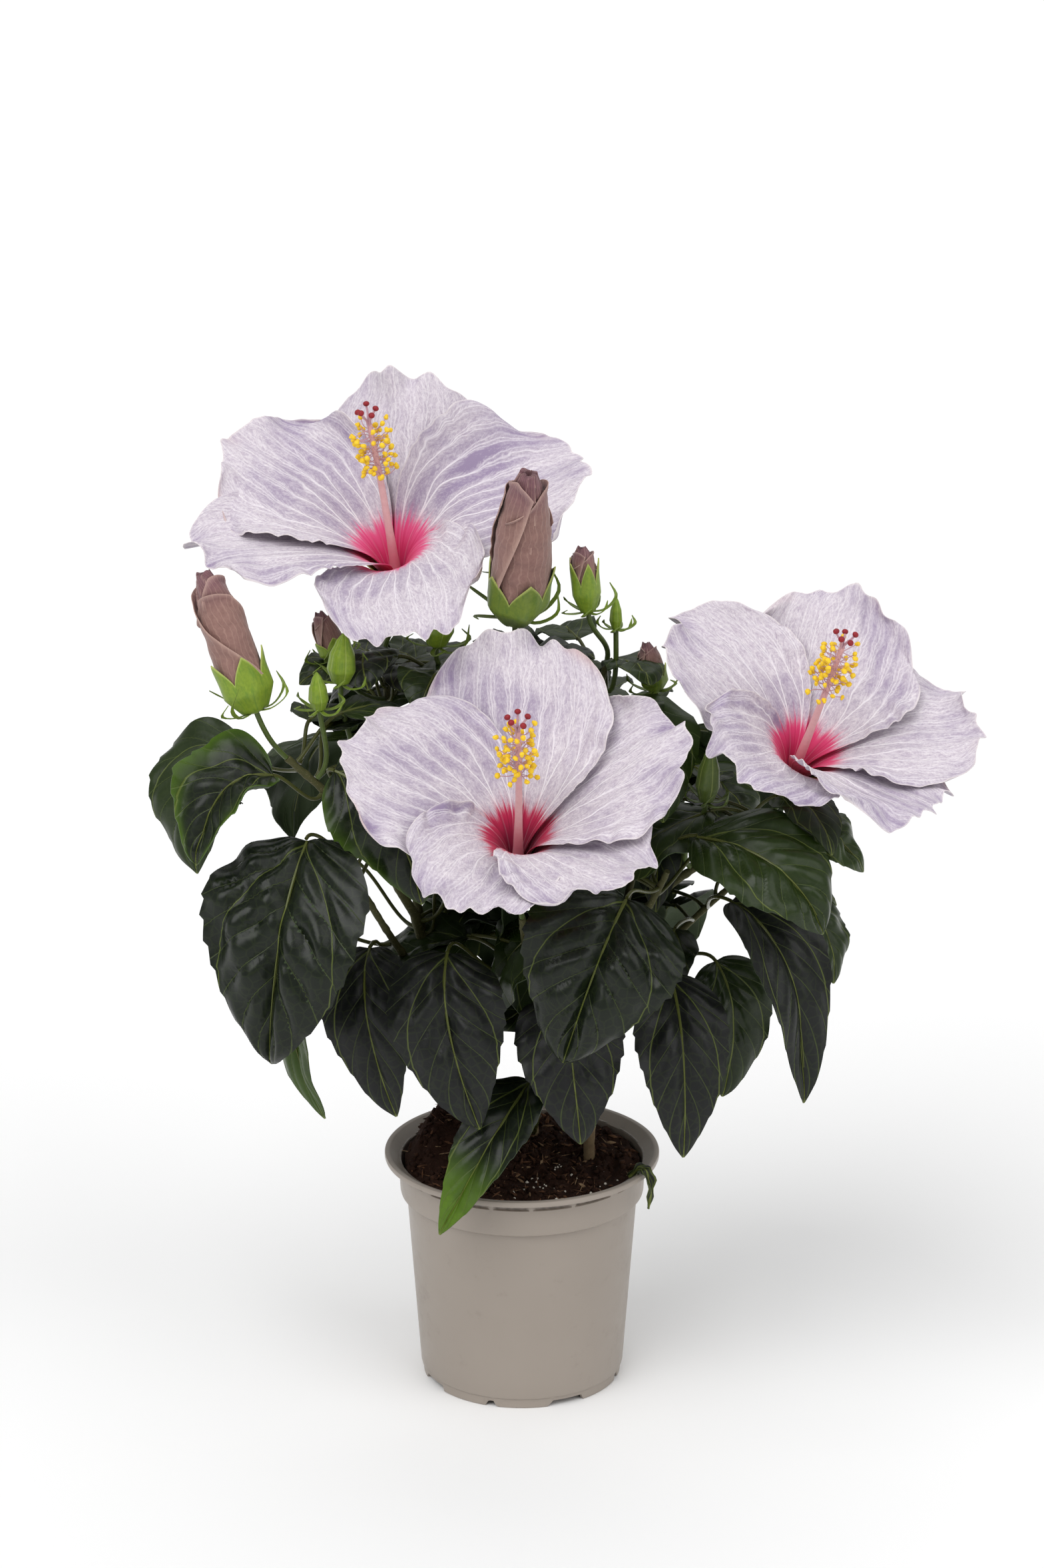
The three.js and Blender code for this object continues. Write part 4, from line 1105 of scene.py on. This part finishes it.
def petal_half_width(u, widest):
    spread = np.sin(math.pi / 2 * np.minimum(1, u / 0.8)) ** 1.3
    rounding = 1 - 0.15 * np.maximum(0, (u - 0.8) / 0.2) ** 2
    return CLAW_HALF_WIDTH + (widest - CLAW_HALF_WIDTH) * spread * rounding


def petal_patch(flower, number, seed, rows=62, columns=67):
    rng = np.random.default_rng(seed)
    spec = {**PETAL_DEFAULTS, **flower["petals"][number]}
    u = 1 - (1 - np.linspace(0, 1, rows)) ** 1.12
    spaced = np.linspace(-1, 1, columns)
    v = np.sign(spaced) * (1 - (1 - np.abs(spaced)) ** 1.15)
    U, V = np.meshgrid(u, v, indexing="ij")
    W = np.abs(V)
    # Waves and dents in the outline
    widest = petal_half_width(U, spec["half"])
    turn_round = np.arctan2(V * widest, (U - 0.45) * spec["length"])
    notches = np.sin(12 * turn_round + 0.8 * np.sin(5 * turn_round + rng.uniform(0, 6)))
    dents = -1.4 * np.abs(notches) ** 4
    for waves, size in ((7, 1.5), (13, 1.4), (24, 1.0), (37, 0.55)):
        dents += size * np.sin((waves + rng.uniform(-1, 1)) * turn_round + rng.uniform(0, 6))
    dents *= spec["ruffle"]
    outer = smooth((U - 0.3) / 0.4)
    half = widest + dents * widest / spec["half"] * W ** 7 * outer * smooth((1 - U) / 0.4)
    flat_distance = U * spec["length"] * (1 - 0.16 * W ** 2.6 * U ** 2)
    # Bends of the sides and of the tip
    bend = np.zeros_like(U)
    for side, start, angle, centre, spread in spec["across"]:
        bend += np.radians(angle) * smooth((side * V - start) / (1 - start)) * hump(U, centre, spread)
    middle = columns // 2
    step = np.abs(np.gradient(V, axis=1)) * half
    across, lift = np.zeros_like(U), np.zeros_like(U)
    for way, rest in ((1, slice(middle, columns)), (-1, slice(middle, None, -1))):
        for total, stride in ((across, way * step * np.cos(bend)), (lift, step * np.sin(bend))):
            total[:, rest] = np.cumsum(stride[:, rest], 1) - stride[:, middle:middle + 1]
    tilt = np.zeros_like(U)
    for start, angle, centre, spread in spec["along"]:
        tilt += np.radians(angle) * smooth((U - start) / (1 - start)) * hump(V, centre, spread)
    stride = np.diff(flat_distance, axis=0, prepend=0.0)
    distance = np.cumsum(stride * np.cos(tilt), 0)
    lift = lift + np.cumsum(stride * np.sin(tilt), 0)
    # Ruffles along the margin, which keep off the neighbours, pleats and slow waves
    margin = 1 - (1 - W ** 2.5) * (1 - U ** 5)
    weight = smooth((margin - 0.35) / 0.65) * outer
    ruffle = np.zeros_like(U)
    for waves, size in ((6, 1.9), (11, 2.2), (17, 1.6), (27, 0.9)):
        swell = 1 + 0.6 * np.sin(rng.uniform(2, 4) * turn_round + rng.uniform(0, 6))
        ruffle += size * swell * np.sin((waves + rng.uniform(-1, 1)) * turn_round + rng.uniform(0, 6))
    ruffle *= spec["ruffle"] * (1 - 0.65 * W ** 6 * U ** 6) * weight
    order = np.where(V < 0, *spec["layer"])
    beside = smooth((W - 0.35) / 0.5) * smooth((0.97 - U) / 0.35)
    ruffle = np.where(order < 0, mix(ruffle, -np.abs(ruffle) * 0.35, beside), ruffle)
    ruffle = np.where(order > 0, mix(ruffle, np.abs(ruffle) * 0.9 + 0.4, beside), ruffle)
    pleat_phase = 1.2 * ripples(seed + 7, np.stack([U * 60, V * 20], -1), 40)
    pleats = 0.40 * np.sin(2 * math.pi * (4.5 * V) + pleat_phase) * smooth((U - 0.2) / 0.5)
    pleats += 0.22 * np.sin(2 * math.pi * (9.3 * V) + 2 * pleat_phase) * smooth((U - 0.35) / 0.5)
    places = np.stack([U * 90, V * half], -1)
    slow = 1.7 * ripples(seed + 9, places, 60) * smooth((U - 0.15) / 0.4) * (1 - 0.6 * beside)
    lift = lift + ruffle + pleats * (1 - 0.3 * weight) + slow
    distance = distance + dents * smooth((U - 0.72) / 0.28) * smooth((margin - 0.7) / 0.3)
    distance = np.maximum.accumulate(distance, axis=0) + 0.02 * np.arange(rows)[:, None]
    # The place in the flower, over or under each neighbour
    radius, _, _ = bowl(flower, distance, np.full_like(U, spec["to"]))
    turn = np.degrees(across / radius)
    centre_line = mix(flower["first"] + 72 * number, spec["to"], smooth(distance / 50))
    layer_step = mix(0.6, 2.4, np.clip(distance / 50, 0, 1)) * np.clip(distance / 4, 0, 1)
    layer = np.where(turn < 0, -spec["layer"][0], spec["layer"][1]) * turn / 36 * layer_step
    points = bowl_point(flower, distance, centre_line + turn, layer + lift)
    # Painted shade in the creases of bent sides and where a ruffled edge dips under its neighbour
    crease = hump(np.abs(bend), 0.5, 0.35) * smooth(np.abs(bend) / 0.25)
    shade = np.clip(0.55 * smooth(-ruffle / 3.5) * outer + 0.95 * crease, 0, 1)
    warm = smooth((U - 0.9) / 0.1) * smooth(ripples(seed + 3, places, 45) - 0.4)
    return sheet(points, PETAL_THICKNESS, grain=np.stack([V, U, half], -1), reach=flat_distance,
                 shade=shade, warm=warm, rim=smooth((margin - 0.955) / 0.045))


def column_patches(flower, seed):
    """The staminal column: kind 0 the tube, 1 a thread, 2 pollen, 3 a stigma pad."""
    rng = np.random.default_rng(seed)
    here = flower_frame(flower)
    at, axis = here.at, here.axis
    end = THROAT_DEPTH + COLUMN_LENGTH
    heights = np.linspace(0, end - 7, 26)
    path = at(0.8 * np.sin(heights / end * 3), np.full(len(heights), 40.0), heights)
    radii = np.interp(heights, [0, 12, 30, end], [3.0, 2.3, 1.75, 1.15])
    rings = tube_rings(path, radii, 12)
    rings = rings + unit(rings - path[:, None]) * (0.1 * ripples(seed, rings, 4))[..., None]
    patches = [wrap(rings, kind=0.0, tone=smooth((34 - heights) / 24)[:, None])]
    for branch in range(5):
        azimuth = 72 * branch + 18 + rng.uniform(-8, 8)
        reach = rng.uniform(3.6, 5.0)
        tip = at(reach, azimuth, end + rng.uniform(-1.6, 1.2))
        steps = ((0.3, 10.0), (1.2, 4.5), (reach * 0.8, 1.6))
        route = [at(radius, azimuth, end - below) for radius, below in steps]
        patches.append(route_tube([*route, tip], 8, np.linspace(0.55, 0.5, 8), 6, kind=1.0))
        way = unit(tip - at(0.0, azimuth, end - 8.0))
        patches.append(bead(tip, way, axis + 0.01, (1.25, 1.5, 1.5), 8, 12, kind=3.0))
    for stamen in range(STAMENS):
        azimuth = GOLDEN_ANGLE * stamen + rng.uniform(-12, 12)
        height = mix(end - 34, end - 9, (stamen + 0.5) / STAMENS) + rng.uniform(-1, 1)
        reach = rng.uniform(5.2, 9.6)
        rise = rng.uniform(-1.5, 4.5)
        foot = at(0.9, azimuth, height)
        elbow = at(reach * 0.55, azimuth + rng.uniform(-10, 10), height + rise * 0.2)
        anther = at(reach, azimuth + rng.uniform(-14, 14), height + rise)
        patches.append(route_tube([foot, elbow, anther], 6, 0.22, 5, kind=1.0))
        lobe = unit(rng.normal(size=3)) * 0.8
        for place, low, high in ((anther, 0.95, 1.5), (anther + lobe, 0.6, 1.0)):
            way, size = rng.normal(size=3), rng.uniform(low, high, 3)
            patches.append(bead(place, way, axis, size, 5, 7, kind=2.0))
    return patches


def bract(route, face, size, tone):
    """A narrow green blade along a route, cupped towards the way that it faces."""
    steps, wide, thin, spread, start, thickness = size
    t = np.linspace(0, 1, steps)
    line = route_points(route, t)
    along = directions(line)
    side = unit(np.cross(along, face))
    up = np.cross(side, along)
    half = (wide * np.sin(math.pi * np.clip(t * spread + start, 0, 1)) + thin)[:, None]
    v = np.linspace(1, -1, 5)
    centre = (line[:, None] + side[:, None] * (half * v)[..., None]
              + up[:, None] * (0.2 * half * v ** 2)[..., None])
    return sheet(centre, thickness, tone=tone, round=0.4, height=0.3)


def flower_calyx_patches(flower, seed):
    """A green cup with five lobes under the petals, curved bracts and the pedicel."""
    rng = np.random.default_rng(seed)
    here = flower_frame(flower)
    at, axis = here.at, here.axis
    azimuth = np.linspace(0, 360, 91)
    point = zigzag(azimuth / 72 + 0.27)
    S, A = np.meshgrid(np.linspace(0, 1, 16), azimuth, indexing="ij")
    distance = S * mix(11.0, 24.0, point)
    clear = -1.5 - 0.06 * distance + 0.25 * np.cos(np.radians(A * 5)) - 2.0 * S ** 3 * point
    cup = sheet(bowl_point(flower, distance, A, clear), 0.5, rim=smooth((S - 0.93) / 0.07),
                height=S, round=A / 360, tone=0.12)
    profile = [(1.2, -7.2), (2.4, -6.4), (3.6, -5.2), (4.6, -3.2), (4.9, -1.2), (3.4, -0.5)]
    angle = np.linspace(0, 360, 24, endpoint=False)
    bottom = np.array([at(radius, angle, height) for radius, height in profile])
    foot = at(0.0, 0.0, -6.5)
    path = stalk_points(seat_on(*flower["seat"], foot, PEDICEL_RADIUS), foot, axis, 14)
    patches = [
        cup, wrap(bottom, tone=0.2, round=0.5, height=0.1),
        tube(path, PEDICEL_RADIUS, 9, tone=0.8, round=0.3),
    ]
    for k in range(FLOWER_BRACTS):
        turn = 360 / FLOWER_BRACTS * k + 10 + rng.uniform(-8, 8)
        reach = rng.uniform(13, 17)
        route = [
            at(2.6, turn, -4.8), at(reach * 0.6, turn, -4.0), at(reach, turn + 8, 1.0),
            at(reach + 0.5, turn + 14, 5.0),
        ]
        patches.append(bract(route, axis, FLOWER_BRACT, 0.35))
    return patches


def pollen_bits(patches, spots):
    """Fallen pollen where a petal shows at the given pixels of the photograph."""
    points = np.concatenate([p["points"] for p in patches])
    pixels = photo_pixels(points)
    nearest = [np.linalg.norm(pixels - spot, axis=1).argmin() for spot in spots]
    places = points[nearest] + [0, -0.3, 0.5] if spots else []
    return [bead(place, [1, 0.1, -0.1], [0, 0, 1], (1.3, 0.4, 0.35), kind=2.0) for place in places]


def make_flowers():
    for place, (name, flower) in enumerate(FLOWERS.items()):
        colours = flower["throat_colour"], flower["deep_colour"]
        material = petal_material(f"petal_{name}", *colours, flower["reach"])
        petals = [petal_patch(flower, number, 400 + 20 * place + number) for number in range(5)]
        for number, petal in enumerate(petals):
            node = f"{name}_petal_{number + 1}"
            make_piece(node, [petal], material, [node])
        node = f"{name}_column"
        patches = column_patches(flower, 500 + place) + pollen_bits(petals, flower.get("pollen", []))
        make_piece(node, patches, COLUMN_PINK, [node])
        node = f"{name}_calyx"
        make_piece(node, flower_calyx_patches(flower, 520 + place), BUD_GREEN, [node])


make_flowers()

# Buds. base is the foot of the green cup and tip the end of the bud. cup is the height
# of the cup where furled petals stand out of it. A bud without it is closed.
CUP_FLARE = 1.12
BUD_BRACTS = 6
BUD_BRACT = (12, 0.95, 0.1, 0.78, 0.2, 0.35)
BUDS = {
    "left_bud": dict(base=(-119, -50, 345), tip=(-142, -45, 408), radius=10.2, cup=26, twist=-170,
                     seat=("A1", 1)),
    "middle_bud": dict(base=(-3, -15, 378), tip=(3, -50, 455), radius=12.4, cup=30, twist=120,
                       seat=("B", 1), tone=0.35, bract_arc=(-0.08, 0.58)),
    "tall_bud": dict(base=(30, -8, 379), tip=(27, -10, 410), radius=5.6, cup=24, seat=("B2", 1), twist=120),
    "brown_bud": dict(base=(-85, 8, 352), tip=(-93, 12, 373), radius=6, cup=10, seat=("A2", 0.86), twist=120),
    "hidden_bud": dict(base=(62, 10, 336), tip=(57, 10, 359), radius=5.4, cup=12, twist=90,
                       seat=("B2", 0.62)),
    "stalk_bud": dict(base=(43, 5, 367), tip=(43, 5, 383), radius=3, seat=("B2", 0.9)),
    "green_bud_1": dict(base=(-39, -5, 362), tip=(-36, -10, 392), radius=7.6, seat=("B4", 1)),
    "green_bud_2": dict(base=(-82, -28, 351), tip=(-80, -30, 376), radius=6.6, seat=("A1", 0.55)),
    "green_bud_3": dict(base=(-91, -42, 343), tip=(-92, -45, 362), radius=4.6, seat=("A1", 0.78)),
    "green_bud_4": dict(base=(84, -26, 294), tip=(86, -30, 323), radius=5.6, seat=("C1", 0.55), tone=0.75),
}


def furled_patches(bud, seed):
    """Petals wound round each other: each overlaps the next with a free edge."""
    here = AxisFrame(bud["base"], np.subtract(bud["tip"], bud["base"]), 1)
    columns = 96
    inner = bud["radius"] * CUP_FLARE - 1.2
    cup, length = bud["cup"], here.length
    marks = [3.5, 0.4 * cup, cup, mix(cup, length, 0.45), mix(cup, length, 0.85), length]
    sizes = [0.62 * bud["radius"] - 1.1, inner, inner, inner * 0.93, inner * 0.60, inner * 0.30]
    h = np.linspace(3.5, length, 38)
    kernel = np.array([1, 2, 3, 2, 1]) / 9 * 0.93
    size = np.convolve(np.pad(np.interp(h, marks, sizes), 2, mode="edge"), kernel, mode="valid")
    turn = np.linspace(0, 1, columns, endpoint=False)
    H, T = np.meshgrid(h, turn, indexing="ij")
    share = (H - cup * 0.6) / (length - cup * 0.6)
    lean = T - bud["twist"] / 360 * np.clip(share, 0, 1) ** 1.2 - 0.1 * np.sin(H / length * 4)
    saw = fraction(3 * lean + 0.2)
    second = fraction(5 * lean + 0.55)
    depth = mix(0.03, 0.22, smooth(share))
    R = size[:, None] * (1 + depth * (saw - 0.62) + 0.4 * depth * (second - 0.5))
    R = R * (1 + 0.03 * ripples(seed, np.stack([T * 60, H * 0.4], -1), 8))
    uneven = 1.2 * np.sin(14 * T + 2) * smooth((share - 0.85) / 0.15)
    rings = [*here.at(R, T, H + uneven)]
    # The ends of the petals sink inwards at the top
    sink = ((0.72, 0.4), (0.45, 0.0), (0.2, 1.6), (0.05, 3.0))
    for part, drop in sink:
        spiral = fraction(2 * turn + part * 1.5)
        rings.append(here.at(R[-1] * part, turn, length - drop + 1.3 * spiral * part))
    last = len(sink)
    edge = smooth((np.maximum(saw, second) - 0.93) / 0.07)
    edge = np.concatenate([edge, np.repeat(edge[-1:], last, 0)])
    top_shade = np.linspace(0.5, 1, last)[:, None] * np.ones(columns)
    shade = np.concatenate([0.6 * smooth((0.12 - saw) / 0.12), top_shade])
    grain = np.stack([lean, np.clip(H / length, 0, 1), R], -1)
    grain = np.concatenate([grain, np.repeat(grain[-1:], last, 0)])
    core = wrap(np.array(rings), grain=grain, rim=edge, shade=shade)
    return [core] + [wrapped_petal(here, bud, h, size, k, seed) for k in range(3)]


def wrapped_petal(here, bud, core_heights, core_sizes, number, seed):
    """One outer petal wound round the bud, with a free edge that runs up it aslant."""
    cup, length = bud["cup"], here.length
    S, A = np.meshgrid(np.linspace(0, 1, 40), np.linspace(0, 1, 26), indexing="ij")
    top = length * (0.985 - 0.05 * number) - 0.2 * length * (1 - A) ** 3 - 0.07 * length * A ** 6
    H = mix(0.3 * cup, top, S)
    share = np.clip((H - 0.3 * cup) / (length - 0.3 * cup), 0, 1)
    turn = number / 3 + 0.06 * number + bud["twist"] / 360 * share ** 1.1 + mix(0.6, 0.48, share) * A
    places = np.stack([turn * 40, H], -1)
    size = np.interp(H, core_heights, core_sizes)
    scale = bud["radius"] / 12
    lift = mix(0.1, 1.3, A) * scale * smooth(S / 0.2)
    lift = lift + 0.45 * scale * ripples(seed + 5 * number, places, 13)
    curl = 1.5 * scale * smooth((A - 0.84) / 0.16) * smooth(S / 0.35)
    curl += 1.2 * scale * smooth((S - 0.93) / 0.07) * (1 + np.sin(9 * A + number))
    points = here.at(size + np.maximum(lift, 0.15) + curl, turn, H)
    rim = np.maximum(smooth((A - 0.94) / 0.06), smooth((S - 0.96) / 0.04))
    shade = 0.5 * smooth((0.1 - A) / 0.1)
    grain = np.stack([turn, H / length, size], -1)
    return sheet(points[:, ::-1], 0.35, grain=grain[:, ::-1], rim=rim[:, ::-1], shade=shade[:, ::-1])


def bract_patches(here, bud, seed, tone):
    rng = np.random.default_rng(seed)
    patches = []
    first, last = bud.get("bract_arc", (0, 1))
    for k in range(BUD_BRACTS):
        turn = mix(first, last, (k + rng.uniform(-0.2, 0.2)) / BUD_BRACTS)
        reach = (bud["radius"] * 1.7 + 3.5) * rng.uniform(0.8, 1.15)
        rise = reach * rng.uniform(0.25, 0.75)
        route = [
            here.at(1.0, turn, 0.5), here.at(reach * 0.55, turn + 0.02, rise * 0.1),
            here.at(reach * 0.95, turn + 0.05, rise * 0.6),
            here.at(reach * rng.uniform(0.75, 1.0), turn + 0.1, rise * 1.2),
        ]
        patches.append(bract(route, here.axis, BUD_BRACT, tone))
    return patches


def bud_cup_patches(bud, seed):
    """The green cup of a furled bud, or a closed bud, with its bracts and pedicel."""
    here = AxisFrame(bud["base"], np.subtract(bud["tip"], bud["base"]), 1)
    tone, radius = bud.get("tone", 0.0), bud["radius"]
    if "cup" in bud:
        turn = np.linspace(0, 1, 81)
        point = zigzag(5 * turn + 0.5)
        S, T = np.meshgrid(np.linspace(0, 1, 17), turn, indexing="ij")
        H = S * (bud["cup"] * mix(0.62, 1.08, point ** 0.85))
        outer = radius * CUP_FLARE
        marks = [0, 1.5, 0.4 * bud["cup"], bud["cup"] * 1.1]
        R = np.interp(H, marks, [1.6, radius * 0.62, outer, outer])
        R = R + 0.05 * radius * np.cos(2 * math.pi * (5 * T)) * smooth(S / 0.3)
        R = R + 0.10 * radius * smooth((S - 0.7) / 0.3) * point ** 2
        shape = sheet(here.at(R, T, H)[:, ::-1], 0.6, rim=smooth((S - 0.95) / 0.05), height=S,
                      round=T[:, ::-1], tone=tone)
    else:
        s = np.linspace(0, 1, 34)
        S, T = np.meshgrid(s, np.linspace(0, 1, 90, endpoint=False), indexing="ij")
        profile = np.interp(s, [0, 0.06, 0.3, 0.6, 0.86, 1], [0.25, 0.62, 1.0, 0.86, 0.42, 0.05])
        ridge = zigzag(5 * T)
        R = radius * profile[:, None] * (0.93 + 0.10 * ridge ** 0.6)
        R = R + 0.05 * radius * smooth((S - 0.75) / 0.1) * ridge
        shape = wrap(here.at(R, T, S * here.length), rim=0.6 * smooth((0.08 - ridge) / 0.08), height=S,
                     round=T, tone=tone)
    seat = seat_on(*bud["seat"], here.base, PEDICEL_RADIUS)
    path = stalk_points(seat, here.at(0.0, 0.0, 0.7), here.axis, 12)
    stalk = tube(path, PEDICEL_RADIUS * 0.95, 9, tone=0.8, round=0.3)
    return [shape, stalk, *bract_patches(here, bud, seed, max(tone, 0.3))]


def make_buds():
    for number, (name, bud) in enumerate(BUDS.items()):
        node = f"{name}_calyx"
        make_piece(node, bud_cup_patches(bud, 600 + number), BUD_GREEN, [node])
        if "cup" in bud:
            node = f"{name}_petals"
            make_piece(node, furled_patches(bud, 640 + number), BUD_BROWN, [node], sharp=40)


make_buds()

# Further leaves that fill the crown, kept clear of the flowers, the pot and the places
# where the photograph shows daylight between the leaves. The outline and the places are
# in pixels of the photograph.
FILL_TRIES = 4200
FILL_WANTED = 112
FILL_SPACING = 13.5
FILL_LOW = (-166, -58, 128)
FILL_HIGH = (165, 124, math.inf)
CROWN_OUTLINE = [
    (265, 1190), (353, 1077), (440, 955), (560, 925), (659, 880), (860, 885), (1030, 985), (1060, 1130),
    (1260, 1190), (1277, 1330), (1248, 1454), (1065, 1519), (1036, 1660), (918, 1680), (765, 1672),
    (659, 1660), (589, 1566), (518, 1472), (353, 1530), (288, 1413),
]
DAYLIGHT = [
    (361, 1192, 388, 1253), (419, 1165, 473, 1246), (537, 1317, 571, 1371),
    (1070, 1400, 1100, 1500), (1200, 1370, 1215, 1430),
]
DAYLIGHT_MARGIN = 8
FLOWER_REACH = 104
FLOWER_CLEARANCE = 7
SECTOR = 30
# The ranges from which raised and hanging leaves are drawn
RAISED_SHARE = 0.4
RAISED_LEAF = dict(
    along=(0.75, 0.98), length=(34, 60), drop=(-0.1, 0.35), rise=(4, 30), out=(8, 40), arch=0.12,
)
HANGING_LEAF = dict(
    along=(0.3, 0.97), length=(52, 84), drop=(0.45, 0.85), rise=(-2, 14), out=(20, 40), arch=-0.06,
)


def inside_outline(pixels, outline):
    x, y = pixels[:, 0], pixels[:, 1]
    inside = np.zeros(len(pixels), bool)
    for (x0, y0), (x1, y1) in zip(outline, outline[1:] + outline[:1]):
        crosses = (y0 > y) != (y1 > y)
        height = np.where(crosses, y1 - y0, 1.0) if y1 != y0 else 1.0
        inside ^= crosses & (x < (x1 - x0) * (y - y0) / height + x0)
    return inside


def clear_of_flowers(points):
    distances = np.linspace(0, FLOWER_REACH + 1, 22)
    for flower in FLOWERS.values():
        here = flower_frame(flower)
        away = points - here.base
        height, right, over = away @ here.axis, away @ here.right, away @ here.over
        radius, azimuth = np.hypot(right, over), np.degrees(np.arctan2(over, right))
        for sector in range(0, 360, SECTOR):
            near = (radius < FLOWER_REACH) & (around(azimuth, sector) <= SECTOR / 2)
            turns = np.full(len(distances), float(sector))
            bowl_radius, bowl_height, _ = bowl(flower, distances, turns)
            level = np.interp(radius[near], bowl_radius, bowl_height)
            if (height[near] > level - FLOWER_CLEARANCE).any():
                return False
    return True


def fill_leaf_spec(rng, number):
    branch = list(BRANCHES)[number % len(BRANCHES)]
    kind = RAISED_LEAF if rng.uniform() < RAISED_SHARE else HANGING_LEAF
    along = rng.uniform(*kind["along"])
    turn = rng.uniform(0, 2 * math.pi)
    out = np.array([math.cos(turn), math.sin(turn), 0])
    length = rng.uniform(*kind["length"])
    drop = rng.uniform(*kind["drop"])
    rise = rng.uniform(*kind["rise"])
    centre = route_points(BRANCHES[branch][2], np.array(along))
    base = centre + out * rng.uniform(*kind["out"]) + [0, 0, rise]
    mid = base + out * length * 0.45 + [0, 0, kind["arch"] * length]
    tip = base + out * length * mix(0.75, 0.4, drop) + np.array([0, 0, -length * drop])
    tip = tip + rng.uniform(-8, 8, 3)
    face = unit(out * rng.uniform(0.5, 0.9) + [0, -0.1, rng.uniform(0.4, 0.9)])
    return dict(on=branch, at=along, base=base, mid=mid, tip=tip, width=length * rng.uniform(0.55, 0.78),
                face=face, fold=rng.uniform(0.05, 0.25), droop=rng.uniform(0.08, 0.18),
                wave=rng.uniform(0.04, 0.12), teeth=rng.uniform(0.05, 0.09), grey=rng.uniform(0.1, 0.9),
                lift=rng.uniform(0, 0.15))


def fill_leaf_fits(spec, centres):
    u = np.linspace(0, 1, 7)
    line, _, side, _ = leaf_midrib(spec, u)
    side = side * leaf_half_width(u[:, None], spec["width"])
    body = np.concatenate([line, line + side, line - side, line + side / 2, line - side / 2])
    if (body < FILL_LOW).any() or (body > FILL_HIGH).any():
        return False
    pixels = photo_pixels(body)
    if not inside_outline(pixels, CROWN_OUTLINE).all():
        return False
    for x0, y0, x1, y1 in DAYLIGHT:
        low, high = np.array([x0, y0]) - DAYLIGHT_MARGIN, np.array([x1, y1]) + DAYLIGHT_MARGIN
        if ((pixels > low) & (pixels < high)).all(1).any():
            return False
    if centres and min(np.linalg.norm(line[3] - c) for c in centres) < FILL_SPACING:
        return False
    return clear_of_flowers(body)


def fill_group(middle):
    if middle[1] > 45:
        return "leaves_back"
    if middle[0] < -35:
        return "leaves_left"
    return "leaves_right" if middle[0] > 40 else "leaves_middle"


def make_fill_leaves():
    rng = np.random.default_rng(77)
    groups = {"leaves_left": [], "leaves_middle": [], "leaves_right": [], "leaves_back": []}
    centres = []
    for number in range(FILL_TRIES):
        if len(centres) >= FILL_WANTED:
            break
        spec = fill_leaf_spec(rng, number)
        if fill_leaf_fits(spec, centres):
            centres.append((spec["base"] + 2 * spec["mid"] + spec["tip"]) / 4)
            groups[fill_group(centres[-1])] += leaf_patches(spec, 700 + number, 20, 15)
    for name, patches in groups.items():
        make_piece(name, patches, LEAF_GREEN)


make_fill_leaves()

# The floor and the soft studio light
FLOOR_SIDE = 40.0
KEY_LIGHT = dict(strength=1.75, spread=50, turn=-38, height=50)
FILL_LIGHT = dict(strength=0.95, spread=55, turn=52, height=38)
TOP_LIGHT = dict(strength=0.6, spread=60, turn=170, height=60)
SKY_STRENGTH = 0.36


def make_floor():
    s = Shader("floor")
    grain = s.noise(3, 2)
    base = s.blend(grain, (0.925, 0.925, 0.925, 1), (0.935, 0.935, 0.935, 1))
    material = s.finish(base, 0.9, 0.0)
    mesh = bpy.data.meshes.new("floor")
    h = FLOOR_SIDE / 2
    mesh.from_pydata([(-h, -h, 0), (h, -h, 0), (h, h, 0), (-h, h, 0)], [], [(0, 1, 2, 3)])
    mesh.materials.append(material)
    floor = bpy.data.objects.new("floor", mesh)
    bpy.context.scene.collection.objects.link(floor)


def make_sun(name, strength, spread, turn, height):
    """A wide soft light. turn is from the front towards the right, height above level."""
    data = bpy.data.lights.new(name, "SUN")
    data.energy = strength
    data.angle = math.radians(spread)
    lamp = bpy.data.objects.new(name, data)
    lamp.rotation_euler = (math.radians(90 - height), 0, math.radians(turn))
    bpy.context.scene.collection.objects.link(lamp)


def make_light():
    world = bpy.data.worlds.new("studio")
    bpy.context.scene.world = world
    world.use_nodes = True
    background = world.node_tree.nodes["Background"]
    background.inputs["Color"].default_value = (1.0, 1.0, 1.0, 1.0)
    background.inputs["Strength"].default_value = SKY_STRENGTH
    make_sun("key", **KEY_LIGHT)
    make_sun("fill", **FILL_LIGHT)
    make_sun("top", **TOP_LIGHT)
    bpy.context.scene.view_settings.view_transform = "Standard"


make_floor()
make_light()
